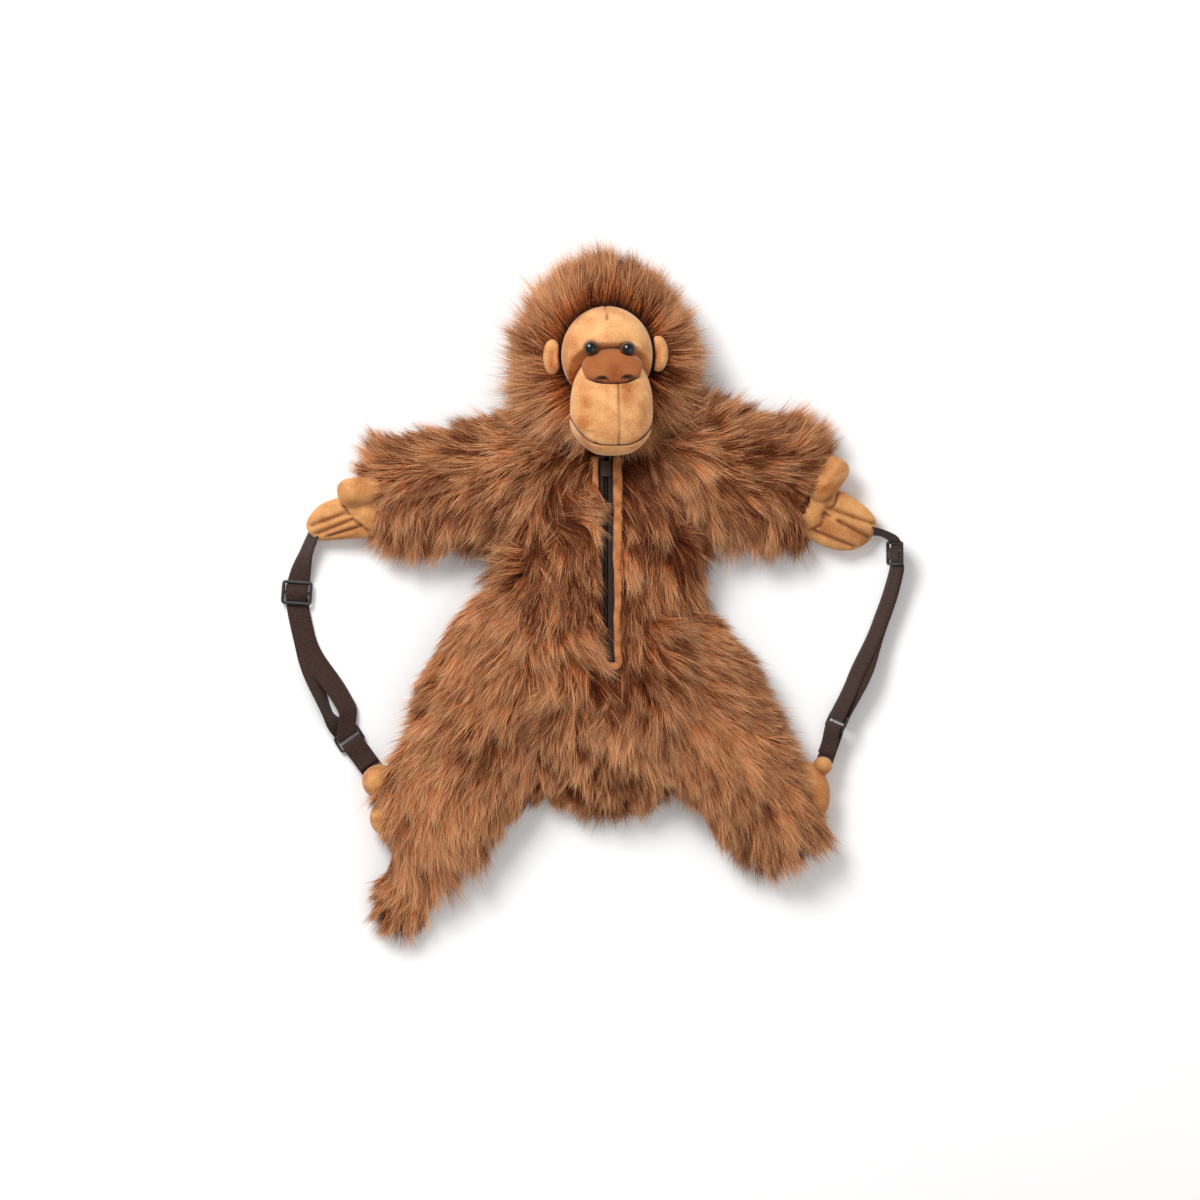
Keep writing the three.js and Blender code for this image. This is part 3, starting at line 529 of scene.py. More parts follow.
def surface_samples(points, extras, count, keep, rng):
    """Random places spread evenly by area over a grid that closes around, with the extras read there."""
    around = np.concatenate([points, points[:, :1]], axis=1)
    extras = np.concatenate([extras, extras[:, :1]], axis=1)
    normal = grid_normals(points)
    normal = np.concatenate([normal, normal[:, :1]], axis=1)
    corner = [around[:-1, :-1], around[:-1, 1:], around[1:, 1:], around[1:, :-1]]
    area = np.linalg.norm(np.cross(corner[2] - corner[0], corner[3] - corner[1]), axis=-1).ravel()
    cell = rng.choice(area.size, size=SPARE_PLACES * count, p=area / area.sum())
    row, column = np.unravel_index(cell, (points.shape[0] - 1, points.shape[1]))
    down, right = rng.random((2, SPARE_PLACES * count, 1))

    def read(grid):
        upper = grid[row, column] * (1 - right) + grid[row, column + 1] * right
        lower = grid[row + 1, column] * (1 - right) + grid[row + 1, column + 1] * right
        return upper * (1 - down) + lower * down

    places, normals, values = read(around), unit(read(normal)), read(extras)
    kept = np.flatnonzero(keep(places, normals))[:count]
    return places[kept], normals[kept], values[kept]


def ruffle(places, wave, rng):
    """A smooth random value for each place, mostly between -1 and 1: sines along random directions."""
    turns = rng.normal(size=(5, 3)) * (np.pi / wave)
    phases = rng.uniform(0, 2 * np.pi, 5)
    return np.sin(places @ turns.T + phases).mean(-1) * RUFFLE


def turned(vectors, angle):
    """Vectors turned in plan by an angle."""
    cosine, sine = np.cos(angle), np.sin(angle)
    x, y = vectors[..., 0], vectors[..., 1]
    return stacked(x * cosine - y * sine, x * sine + y * cosine, vectors[..., 2])


def clear_share(places, reach, leave, bend, gather, rng):
    """Share of each guide's length that it may keep before it would cover what has to stay in sight."""
    steps = np.linspace(0.1, 1, 16)
    run = reach[:, None, None] * steps[:, None]
    path = places[:, None] + leave[:, None] * run + bend[:, None] * run * steps[:, None]
    path = path + gather[:, None] * steps[:, None]
    bare, zipped = in_sight(path)
    covered = bare | (zipped & (rng.random(len(places)) > STRAY_SHARE)[:, None])
    first = np.where(covered.any(1), steps[covered.argmax(1)], 1.0)
    return np.maximum(first, 0.2)


def nearest_locks(places, flow, rng):
    """The guides that locks gather round, which of them each guide joins, and how near it is to a parting,
    from 0 to 1. A distance along the comb counts for less than one across it."""
    lock = rng.permutation(len(places))[: max(len(places) // GUIDES_IN_LOCK, 2)]
    apart = places[None, lock] - places[:, None]
    ahead = np.einsum("ijk,ik->ij", apart, flow)
    away = np.sqrt(np.maximum((apart**2).sum(-1) - 0.75 * ahead**2, 0))
    closest = np.argpartition(away, 1, axis=1)[:, :2]
    gaps = np.take_along_axis(away, closest, 1)
    nearest = lock[np.where(gaps[:, 0] < gaps[:, 1], closest[:, 0], closest[:, 1])]
    return lock, nearest, np.exp(-(((gaps.max(1) - gaps.min(1)) / PARTING) ** 2))


def ribbons(path, step, normals, rng):
    """The edges of a thin ribbon along each path, which end in one point at its tip."""
    heading = unit(np.gradient(path, axis=2))
    turn = JITTER["facing"] * rng.normal(size=(*path.shape[:2], 3))
    facing = unit(normals[:, None] * 0.5 + np.array([0, 0, 0.5]) + turn)
    sideways = unit(np.cross(heading, facing[:, :, None]))
    width = STRAND_WIDTH / 2 * (1 - 0.55 * step**2)[:, None]
    edges = np.stack([path - sideways * width, path + sideways * width], axis=3)[:, :, :-1]
    total = path.shape[0] * path.shape[1]
    return np.concatenate([edges.reshape(total, -1, 3), path[:, :, -1:].reshape(total, 1, 3)], axis=1)


def fur_object(name, points, comb, length, count, keep, seed, tone, contrast, swirl):
    """Strands over a form. A guide runs along the comb and rises along the surface's normal at first, then
    bends back: root + length * (direction * t + bend * t^2). A strand is its guide plus an offset that
    closes up."""
    rng = np.random.default_rng(seed)
    extras = np.concatenate([comb, length], axis=-1)
    places, normals, values = surface_samples(points, extras, count // STRANDS_IN_CLUMP, keep, rng)
    guides = len(places)
    flow, reach = values[:, :3], values[:, 3] * rng.uniform(*GUIDE_LENGTHS, guides)
    lock, nearest, parting = nearest_locks(places, flow, rng)
    middle = places[nearest]
    reach = reach * (1 - SHORT_AT_PARTING * parting)
    flow = turned(flow, swirl * ruffle(middle, SWIRL_WAVE, rng) + JITTER["turn"] * rng.normal(size=guides))
    into = np.minimum(np.einsum("ij,ij->i", flow, normals), 0)[:, None]
    flow = unit(flow - normals * into)
    rising = 1 + 0.5 * ruffle(middle, LIFT_WAVE, rng) + JITTER["lift"] * rng.normal(size=guides)
    rising = LIFT * rising[:, None]
    leave = unit(flow + normals * rising)
    bend = 0.3 * flow - 0.55 * rising * normals - SAG + JITTER["bend"] * rng.normal(size=(guides, 3))
    gather = (middle - places) * GATHER
    gather = gather - flow * np.einsum("ij,ij->i", gather, flow)[:, None]
    reach = reach * clear_share(places, reach, leave, bend, gather, rng)

    step = np.linspace(0, 1, STRAND_POINTS)
    strands = (guides, STRANDS_IN_CLUMP)
    along = unit(np.cross(normals, flow))
    across = np.cross(normals, along)
    spread = CLUMP_SPREAD * np.sqrt(rng.random(strands))[..., None]
    angle = rng.uniform(0, 2 * np.pi, strands)[..., None]
    offset = spread * (np.cos(angle) * along[:, None] + np.sin(angle) * across[:, None])
    run = step * (reach[:, None] * rng.uniform(*STRAND_LENGTHS, strands))[..., None]
    wander = rng.normal(size=(*strands, 3)) * JITTER["wander"]
    path = leave[:, None, None] * run[..., None]
    path = path + (bend[:, None] + wander)[:, :, None] * (run * step)[..., None]
    path = path + gather[:, None, None] * (step**1.4)[:, None]
    path = path + offset[:, :, None] * (1 - 0.5 * step**1.3)[:, None] + places[:, None, None]
    path[..., 2] = np.maximum(path[..., 2], FLOOR_CLEAR + 1.5 * rng.random(strands)[..., None])
    ribbon = ribbons(path, step, normals, rng)

    own = rng.normal(size=guides)[np.searchsorted(np.sort(lock), nearest)]
    # random waves and each lock's own tone, less painted shade near the partings
    broad = 0.24 * ruffle(middle, TONE_WAVE, rng) + 0.2 * own - SHADE_AT_PARTING * parting
    shade = tone(places) + contrast * broad + JITTER["clump"] * rng.normal(size=guides)
    shade = np.clip(shade[:, None] + JITTER["strand"] * rng.normal(size=strands), 0.02, 0.98).reshape(-1)
    return strand_mesh(name, ribbon * MM, shade, step)


def strand_mesh(name, ribbon, tone, step):
    """One mesh of all ribbons: quads along each, and a triangle at its tip. Its map is tone and share."""
    total, corners, _ = ribbon.shape
    quads = len(step) - 2
    cell = np.arange(quads)[:, None] * 2 + np.array([0, 1, 3, 2])
    order = np.concatenate([cell.ravel(), [corners - 3, corners - 2, corners - 1]])
    loops = (np.arange(total)[:, None] * corners + order).ravel()
    starts = np.concatenate([np.arange(quads) * 4, [quads * 4]])
    starts = (np.arange(total)[:, None] * order.size + starts).ravel()
    mesh = bpy.data.meshes.new(name)
    mesh.vertices.add(total * corners)
    mesh.vertices.foreach_set("co", ribbon.astype(np.float32).ravel())
    mesh.loops.add(loops.size)
    mesh.loops.foreach_set("vertex_index", loops.astype(np.int32))
    mesh.polygons.add(starts.size)
    mesh.polygons.foreach_set("loop_start", starts.astype(np.int32))
    mesh.update(calc_edges=True)
    chart = mesh.uv_layers.new(name="OFBake")
    sides = np.concatenate([np.tile([-0.008, 0.008], len(step) - 1), [0.0]])
    shares = np.concatenate([np.repeat(step[:-1], 2), [1.0]])
    u = np.clip(tone[:, None] + sides[order], *MAP_EDGE)
    v = np.clip(np.broadcast_to(shares[order], u.shape), *MAP_EDGE)
    chart.data.foreach_set("uv", stacked(u, v).astype(np.float32).ravel())
    made = bpy.data.objects.new(name, mesh)
    scene.collection.objects.link(made)
    return made


# %% [markdown]
# ## Which way the fur is brushed
# The head's fur stands out all round the face like a halo. The torso's falls to the feet and away from the
# zip. A limb's runs along it and out to both edges, and hangs longer on the side that faces the feet. No
# fur grows where one form is inside another, or under the welt of the zip.

# %% Fur of the whole part
FACE = ((6.3, 229, 66), (43.5, 46, 40))
WELT_EDGES = (-5.0, 19.8)
WELT_BOTTOM = -57.0
STRAY_SHARE = 0.14
ROOT_DEPTH = 16.0
ROOT_LOW = 1.5
UNDERSIDE_TURN = -0.75
LIMB_END = 12
CHIN = {"middle": 8, "half": 40, "below": 175}
HEAD_FUR, TORSO_FUR = 35.5, 34.5
HALO = (6, 222)  # the place that the head's fur stands away from
HALO_LONGER = {  # how much longer the head's fur is, by degrees round the face from its top
    -180: 6, -125: 21, -100: 14, -70: 6, -45: 7, -20: 7, 0: 11, 20: 4, 45: 2, 75: -3, 100: 7, 125: 11, 180: 6,
}
# x, y and radius of circles that the fur leaves bare: hands, thumbs, feet and a gap at the tail
IN_SIGHT = np.array([
    (-224, 105, 13), (-214, 86, 13), (-240, 78, 18), (214, 128, 11), (206, 112, 11), (196, 90, 17),
    (224, 80, 22), (-210, -152, 10), (-203, -186, 10), (-220, -158, 13), (-214, -192, 11),
    (202, -138, 9), (207, -165, 12), (219, -162, 15), (213, -190, 11), (-200, -221, 14),
])
ZIP_SIGHT = {"left": -7.5, "right": 18.0, "low": -47.0, "top": 160.0, "bare_above": 98.0}
ZIP_HANG = (5.0, 40, 80)  # how far fur hangs over the zip, where it starts, and over which length
ZIP_TUFT = (90.0, 11.0, 1.5)  # where a tuft crosses the zip, how far it reaches, and how fast it narrows


def in_sight(places):
    """Whether places lie over the hands and feet, and whether they lie over the zip. The fur leaves both
    bare, but below the zip's upper end it hangs over the left edge, further towards the lower end, and one
    tuft crosses the zip."""
    away = places[..., None, :2] - IN_SIGHT[:, :2]
    over = (np.linalg.norm(away, axis=-1) < IN_SIGHT[:, 2]).any(-1)
    x, y = places[..., 0], places[..., 1]
    most, start, length = ZIP_HANG
    hanging = most * np.clip((start - y) / length, 0, 1)
    left = np.where(y > ZIP_SIGHT["bare_above"], ZIP_SIGHT["left"], hanging)
    tuft, reach, narrowing = ZIP_TUFT
    left = np.maximum(left, reach - narrowing * np.abs(y - tuft))
    beside = (x > left) & (x < ZIP_SIGHT["right"])
    return over, beside & (y > ZIP_SIGHT["low"]) & (y < ZIP_SIGHT["top"])


def inside_egg(places, at, radii, grow=0.0):
    """Whether places lie inside an ellipsoid."""
    return (((places - np.array(at)) / (np.array(radii) + grow)) ** 2).sum(-1) < 1


def inside_torso(places, grow=0.0):
    """Whether places lie under the torso's front."""
    return places[..., 2] < torso_height(places[..., 0], places[..., 1], grow) - 1e-3


def inside_limb(places, rows, grow=0.0):
    """Whether places lie in the oval of a limb at the nearest point of its middle line."""
    middle, along, side, size = limb_frame(rows, np.linspace(0, 1, 60))
    near = np.linalg.norm(places[:, None, :2] - middle[None, :, :2], axis=-1).argmin(1)
    away = places - middle[near]
    across = np.einsum("ij,ij->i", away, side[near]) / np.maximum(size[near, 0] + grow, 1)
    ahead = np.abs(np.einsum("ij,ij->i", away, along[near])) / LIMB_END
    tall = away[:, 2] / np.maximum(size[near, 1] + grow, 1)
    return across**2 + tall**2 + ahead**2 < 1


def above_floor(places, normals):
    """The underside lies on the floor and keeps no fur of its own."""
    return (normals[:, 2] > UNDERSIDE_TURN) & (places[:, 2] > ROOT_LOW)


def head_keep(places, normals):
    """Where the head's fur grows: outside the face and the torso, and not under the chin."""
    free = ~inside_egg(places, *FACE, grow=-1.0) & ~inside_torso(places, 2.0)
    chin = (np.abs(places[:, 0] - CHIN["middle"]) < CHIN["half"]) & (places[:, 1] < CHIN["below"])
    return above_floor(places, normals) & free & ~chin


def torso_keep(places, normals):
    """Where the torso's fur grows: outside the head and the limbs, and beside the welt."""
    x, y = places[:, 0], places[:, 1]
    welt = (x > WELT_EDGES[0]) & (x < WELT_EDGES[1]) & (y > WELT_BOTTOM)
    hidden = inside_egg(places, *HEAD, grow=-ROOT_DEPTH)
    for name in ("arm_left", "arm_right", "leg_left", "leg_right"):
        hidden |= inside_limb(places, LIMBS[name], -ROOT_DEPTH)
    return above_floor(places, normals) & ~hidden & ~welt


def limb_keep(places, normals):
    """Where a limb's fur grows: outside the torso and the head."""
    inside = inside_torso(places, -4.0) | inside_egg(places, *HEAD, grow=-ROOT_DEPTH)
    return above_floor(places, normals) & ~inside


def column(grid, value):
    """One more value for each point of a grid."""
    return np.broadcast_to(np.asarray(value, float), grid.shape[:2])[..., None].copy()


def head_comb(points):
    """The comb of the head: away from the middle of the face, with a length that changes round it."""
    x, y, _ = np.moveaxis(points, -1, 0)
    right, up = x - HALO[0], y - HALO[1]
    away = stacked(right, 0.95 * up, 0.12 * np.hypot(right, up))
    turn = np.degrees(np.arctan2(right, y - HEAD[0][1]))
    length = HEAD_FUR + np.interp(turn, list(HALO_LONGER), list(HALO_LONGER.values()))
    return unit(away), column(points, length)


WHORLS = [  # x, y and size of a place, how far its fur parts outward there, and which way it is swept
    (-63, 40, 24, 1.6, 0.0, 0.0), (-72, -36, 20, 1.4, 0.0, 0.0), (-34, 92, 15, 0.0, 2.2, 0.9),
    (62, 66, 18, 1.2, 0.0, 0.0), (48, -20, 20, 0.9, 0.5, 0.3),
]


def torso_comb(points):
    """The comb of the torso: to the feet and away from the zip, out at the shoulders, parted at whorls."""
    x, y, _ = np.moveaxis(points, -1, 0)
    across = (x - ZIP_X) / 85
    over_zip = 0.5 * np.exp(-(((x + 22) / 26) ** 2)) * (y > -60)
    shoulder = np.clip((y - 95) / 60, 0, 1)
    sideways = 0.75 * across + 0.55 * np.sign(across) * shoulder + over_zip
    comb = unit(stacked(sideways, -1 + 0.75 * shoulder, 0.0))
    length = TORSO_FUR - np.clip(-(y + 80) / 60, 0, 1) * (7 + 9 * np.exp(-(((x + 42) / 26) ** 2)))
    for at_x, at_y, wide, outward, right, up in WHORLS:
        away = stacked(x - at_x, y - at_y, 0.0)
        near = np.exp(-((np.linalg.norm(away, axis=-1) / wide) ** 2))[..., None]
        comb = comb + near * (outward * unit(away) + np.array([right, up, 0.0]))
    return unit(comb), column(points, length)


LIMB_TRIMS = {  # shares along a limb, and millimetres off the side that faces the head
    "leg_left": (
        (0.2, -3), (0.3, -7), (0.4, 5), (0.47, 15), (0.54, 8), (0.6, 2), (0.7, -2), (0.78, 5),
        (0.87, 20), (1, 26),
    ),
    "leg_right": (
        (0.2, -5), (0.27, -6), (0.34, 2), (0.44, 14), (0.55, 23), (0.64, 25), (0.76, 11),
        (0.88, 2), (1, 0),
    ),
}
# share along, shares outward on the head's side and on the feet's, fall, length, how much shorter the fur
# is on those two sides, and how much longer it is at the end
LIMB_COMBS = {
    "arm_left": (0.75, 0.85, 1.0, (0.0, -0.25), 32, (0.1, 0.0), -0.15),
    "arm_right": (0.7, 1.0, 1.0, (0.0, -0.2), 33, (0.0, -0.1), -0.15),
    "leg_left": (0.95, 0.4, 0.25, (0.0, -0.3), 36, (0.35, 0.3), 0.4),
    "leg_right": (0.9, 0.5, 0.2, (0.05, -0.15), 36, (0.35, 0.22), 0.1),
    "tail": (1.0, 0.6, 0.6, (0.12, -0.2), 22, (0.0, 0.0), 0.0),
}
LIMB_TUFTS = {  # place and size of a tuft, the way it stands, and how much longer it is
    "arm_left": (-194, 138, 13, (-0.7, 1.2), 0.5), "arm_right": (164, 158, 18, (0.1, 0.8), 0.12),
}


def limb_comb(name, points, along, side, swing):
    """The comb of a limb: along it, plus outward in proportion to the place across it, plus a fall."""
    ahead, upper, lower, fall, length, trim, tip = LIMB_COMBS[name]
    faces_head = side[:, None, 1:2] * swing > 0
    outward = np.where(faces_head, upper, lower)
    comb = ahead * along[:, None] + outward * swing * side[:, None] + np.array([*fall, 0.0])
    facing = side[:, None, 1] * swing[..., 0]
    longer = 1 - trim[0] * np.maximum(facing, 0) - trim[1] * np.maximum(-facing, 0)
    longer = longer * (1 + tip * np.clip(np.linspace(-3, 1, len(points)), 0, 1))[:, None]
    if name in LIMB_TUFTS:
        at_x, at_y, wide, way, more = LIMB_TUFTS[name]
        near = np.exp(-((np.hypot(points[..., 0] - at_x, points[..., 1] - at_y) / wide) ** 2))
        comb = comb + near[..., None] * np.array([*way, 0.0])
        longer = longer * (1 + more * near)
    return unit(np.broadcast_to(comb, points.shape)), column(points, length * longer)


# strands, their tone from 0, dark, to 1, pale, the contrast between locks, and how far the fur swirls
COATS = {
    "head": (52000, 0.62, 0.75, 0.5), "torso_fur": (86000, 0.64, 1.0, 0.5),
    "arm_left": (34000, 0.6, 0.9, 0.5), "arm_right": (34000, 0.56, 0.9, 0.5),
    "leg_left": (52000, 0.76, 0.6, 0.25), "leg_right": (52000, 0.6, 0.5, 0.25),
    "tail": (14000, 0.66, 0.6, 0.3),
}
PALER = {  # how much paler the fur is at places on a piece, or darker where it is below 0
    "torso_fur": lambda places: -0.22 * np.clip(places[:, 1] / 80, 0, 1),
    "head": lambda places: 0.2 * np.clip((np.hypot(places[:, 0] - 6, places[:, 1] - 228) - 42) / 20, 0, 1),
}
TORSO_FUR_LIFT = 1.5
TAIL_INSET = 4.0
FUR_SLOT = {"half": 12.0, "below": 8, "thickness": 1.2}


def coat_form(node):
    """The form that a coat grows on, its comb, its lengths, and the test for where it grows."""
    if node == "torso_fur":
        form = torso_dome(TORSO_FUR_LIFT)
        return form, *torso_comb(form), torso_keep
    if node == "head":
        form = egg(*HEAD, -FUR_INSET)
        form[..., 2] = np.maximum(form[..., 2], FLOOR_CLEAR)
        return form, *head_comb(form), head_keep
    inset = TAIL_INSET if node == "tail" else FUR_INSET
    form, *ways = limb_tube(LIMBS[node], -inset, LIMB_TRIMS.get(node, NO_TRIM))
    return form, *limb_comb(node, form, *ways), limb_keep


def coat_parts(node, keep):
    """The names of a coat's pieces and where each grows. The torso's coat is parted at the zip."""
    if node != "torso_fur":
        return {f"{node}_strands": keep}
    return {
        "torso_fur_left_strands": lambda places, normals: keep(places, normals) & (places[:, 0] < ZIP_X),
        "torso_fur_right_strands": lambda places, normals: keep(places, normals) & (places[:, 0] >= ZIP_X),
    }


seed = 1
for node, (count, tone, contrast, swirl) in COATS.items():
    form, comb, length, keep = coat_form(node)
    if node == "torso_fur":
        low = ZIP["bottom"] - FUR_SLOT["below"]
        skin = open_dome("torso_fur_backing", TORSO_FUR_LIFT, FUR_SLOT["half"], low, FUR_SLOT["thickness"])
    else:
        skin = closed_object(f"{node}_backing", form)
    finish_piece(skin, skin_material, [node])
    change = PALER.get(node, lambda places: 0.0)
    parts = coat_parts(node, keep)
    for name, chosen in parts.items():
        coat = fur_object(
            name, form, comb, length, count // len(parts), chosen, seed,
            lambda places: tone + change(places), contrast, swirl,
        )
        finish_piece(coat, fur_material)
        seed += 1

# %% [markdown]
# ## Stuffed velour
# Face, snout, ears, hands and feet are sewn from short velour and stuffed. Each starts as a form that numpy
# works out a little too slim, with its seams marked. Blender's cloth then blows it up from inside while the
# seams hold, which is what stuffing does: the cloth swells between the seams and stays low along them.

# %% Nap of the velour
def node_group(name, inputs, outputs):
    """An empty shader group with named sockets."""
    group = bpy.data.node_groups.new(name, "ShaderNodeTree")
    for label, kind, value in inputs:
        socket = group.interface.new_socket(name=label, in_out="INPUT", socket_type=kind)
        socket.default_value = value
    for label, kind in outputs:
        group.interface.new_socket(name=label, in_out="OUTPUT", socket_type=kind)
    return group, group.nodes.new("NodeGroupInput").outputs, group.nodes.new("NodeGroupOutput").inputs


WHITE = (1.0, 1.0, 1.0, 1.0)
COLOUR, NUMBER, VECTOR = "NodeSocketColor", "NodeSocketFloat", "NodeSocketVector"
# The second colour is that of nap lying down, and also of painted shade.
nap_group, given, result = node_group(
    "Nap",
    [
        ("Raised", COLOUR, WHITE), ("Shaded nap", COLOUR, WHITE), ("Seam", COLOUR, WHITE),
        ("Patches", NUMBER, 70.0), ("Grain", NUMBER, 620.0),
    ],
    [("Color", COLOUR), ("Height", NUMBER), ("Roughness", NUMBER)],
)
place = object_place(nap_group)
patch = noise(nap_group, place, given["Patches"], 3.0, Roughness=0.6, Distortion=0.6)
grain = noise(nap_group, place, given["Grain"], 4.0, Roughness=0.7)
brush = map_range(nap_group, patch, (0.38, 0.66), interpolation_type="SMOOTHSTEP")
speck = map_range(nap_group, grain, (0.3, 0.7), (-0.24, 0.24))
# The mark that each piece carries holds the nap's mottling and painted shade.
cloudy = maths(nap_group, "MULTIPLY_ADD", brush, 0.2, point_mark(nap_group, "nap_and_shade"))
shade = maths(nap_group, "ADD", cloudy, speck, use_clamp=True)
cloth = blend_colours(nap_group, shade, given["Raised"], given["Shaded nap"])
dark_seams_and_shade = blend_colours(nap_group, point_mark(nap_group, "seam_and_shade"), cloth, given["Seam"])
rough = map_range(nap_group, shade, target=(0.7, 0.9))
for label, socket in {"Color": dark_seams_and_shade, "Height": grain, "Roughness": rough}.items():
    nap_group.links.new(socket, result[label])


def velour_material(name, raised, nap_and_shade, seam_and_shade):
    """Short nap, paler where it stands, darker where it lies and where shade is painted, with dark seams."""
    made, tree, shader = new_material(name, sheen_weight=0.35, sheen_roughness=0.35, specular_ior_level=0.2)
    colours = {"Raised": srgb(*raised), "Shaded nap": srgb(*nap_and_shade), "Seam": srgb(*seam_and_shade)}
    nap = add_node(tree, "ShaderNodeGroup", colours, node_tree=nap_group).outputs
    dress(tree, shader, nap["Color"], nap["Height"], 0.35, 0.0005, nap["Roughness"])
    return made


# each: raised nap, nap lying down and painted shade, and seams
tan_velour = velour_material("tan_velour", (232, 176, 118), (166, 93, 42), (84, 40, 16))
hand_velour = velour_material("hand_velour", (214, 156, 98), (150, 84, 38), (84, 40, 16))
nose_velour = velour_material("nose_velour", (164, 98, 53), (132, 68, 32), (34, 15, 7))
welt_velour = velour_material("welt_velour", (190, 124, 76), (140, 80, 40), (112, 62, 30))

# %% Stuffing a form
STUFFING_FRAMES = 20
CLOTH = {
    "quality": 4, "mass": 0.002, "tension_stiffness": 6, "compression_stiffness": 6, "shear_stiffness": 3,
    "bending_stiffness": 0.15, "use_pressure": True, "uniform_pressure_force": 4.0,
}


def mark(piece, name, values):
    """One number for each point of a piece, which its material or its stuffing reads."""
    layer = piece.data.attributes.new(name, "FLOAT", "POINT")
    layer.data.foreach_set("value", np.asarray(values, np.float32))


def read_points(mesh):
    """A mesh's points as an array."""
    flat = np.empty(len(mesh.vertices) * 3, np.float32)
    mesh.vertices.foreach_get("co", flat)
    return flat.reshape(-1, 3).astype(float)


def stuff(piece, most, held=None):
    """Blows a closed form up as cloth, with held points pinned. No point moves further than most, in mm."""
    start = read_points(piece.data)
    cloth = piece.modifiers.new("stuffing", "CLOTH")
    settings = cloth.settings
    for key, value in CLOTH.items():
        setattr(settings, key, value)
    settings.effector_weights.gravity = 0
    if held is not None:
        group = piece.vertex_groups.new(name="seams")
        for point in np.flatnonzero(held > 0.5).tolist():
            group.add([point], 1.0, "REPLACE")
        settings.vertex_group_mass = "seams"
    for step in range(1, STUFFING_FRAMES + 1):
        scene.frame_set(step)
    blown = piece.evaluated_get(bpy.context.evaluated_depsgraph_get()).to_mesh()
    moved = read_points(blown) - start
    piece.modifiers.remove(cloth)
    far = np.linalg.norm(moved, axis=1, keepdims=True)
    moved *= np.minimum(1, most * MM / np.maximum(far, 1e-9))
    piece.data.vertices.foreach_set("co", (start + moved).astype(np.float32).ravel())
    piece.data.update()
    scene.frame_set(1)
    mean, greatest = (round(float(value / MM), 2) for value in (far.mean(), far.max()))
    print(piece.name, "swelled by", mean, "mm, at most", greatest)
    return piece


def smoother(piece):
    """One subdivision, the same in the view and in the render."""
    extra = piece.modifiers.new("smoother", "SUBSURF")
    extra.levels = 1
    extra.render_levels = 1
    return piece


# %% [markdown]
# ## Face, snout, nose and ears
# Every one of these forms is seen whole from a point inside it, so it is a distance for each direction: as
# far as its own egg reaches, or as far as the neighbour that it presses against. A soft minimum rounds that
# crease.

# %% Forms seen from a point inside
# centre, radii (across, below, above, tall), bluntness (2 is an ellipsoid), lean, narrowing upward
FORMS = {
    "face": ((6.3, 229, 66), (43.5, 46, 46, 40), 2.0, 0.0, 0.0),
    "muzzle": ((10.3, 178, 84), (38.5, 40.5, 53, 34), 2.4, 0.0, 0.0),
    "nose": ((10.8, 218.5, 102), (28, 16.5, 16.5, 11), 2.3, 0.45, 0.32),
    "ear_left": ((-43, 227, 62), (9, 17, 17, 12), 2.0, 0.0, 0.0),
    "ear_right": ((52, 230, 62), (10, 17, 17, 12), 2.0, 0.0, 0.0),
    "eye_left": ((-8.1, 234.5, 100.6), (7, 7, 7, 6), 2.0, 0.0, 0.0),
    "eye_right": ((25.2, 233.7, 100.2), (7, 7, 7, 6), 2.0, 0.0, 0.0),
}
EYES = ["eye_left", "eye_right"]
MOUTH = {"middle": 12, "low": 147.5, "half": 36, "reach": 39, "rise": 21, "power": 3.2}
MOUTH_SIDES = {"chin": 1, "upper_jaw": -1}
MOUTH_SOFTNESS = 10
NEIGHBOUR_GAP = 0.3
CREASE = 0.8


def directions(rings, around):
    """Unit vectors in rings from the pole at -Y to the pole at +Y."""
    rise = pole_to_pole(rings)[:, None]
    turn = full_turn(around)[None]
    return stacked(np.cos(rise) * np.cos(turn), np.sin(rise), np.cos(rise) * np.sin(turn))


def mouth_rise(x):
    """How far the mouth has risen at a place across it: rise (|x| / half)^power from its middle."""
    across = np.minimum(np.abs(x - MOUTH["middle"]), MOUTH["reach"])
    return MOUTH["rise"] * (across / MOUTH["half"]) ** MOUTH["power"]


def bent(places, bend):
    """Places lifted along Y by a curve across X. Before that a form is straight, and so seen whole."""
    if bend is None:
        return places
    return stacked(places[..., 0], places[..., 1] + bend(places[..., 0]), places[..., 2])


def mouth_line(x):
    """The mouth in plan: lowest in the middle, and rising to both corners."""
    return MOUTH["low"] + mouth_rise(x)


def form_level(places, name, grow):
    """Below 1 inside a form and above 1 outside it: |x/a|^n + |y/b|^n + |z/c|^n after its lean and
    narrowing. The two sides of the mouth count as forms of their own."""
    if name in MOUTH_SIDES:
        past = MOUTH_SIDES[name] * (places[..., 1] - mouth_line(places[..., 0]))
        return 1 + past / MOUTH_SOFTNESS - grow / MOUTH_SOFTNESS
    at, (wide, below, above, tall), power, lean, narrowing = FORMS[name]
    x, y, z = np.moveaxis(places - np.array(at), -1, 0)
    length = np.where(y < 0, below, above)
    x = x / (1 - narrowing * np.clip(y / length, 0, 1) ** 2)
    local = [x / (wide + grow), y / (length + grow), (z + lean * y) / (tall + grow)]
    return (np.abs(np.stack(local)) ** power).sum(0)


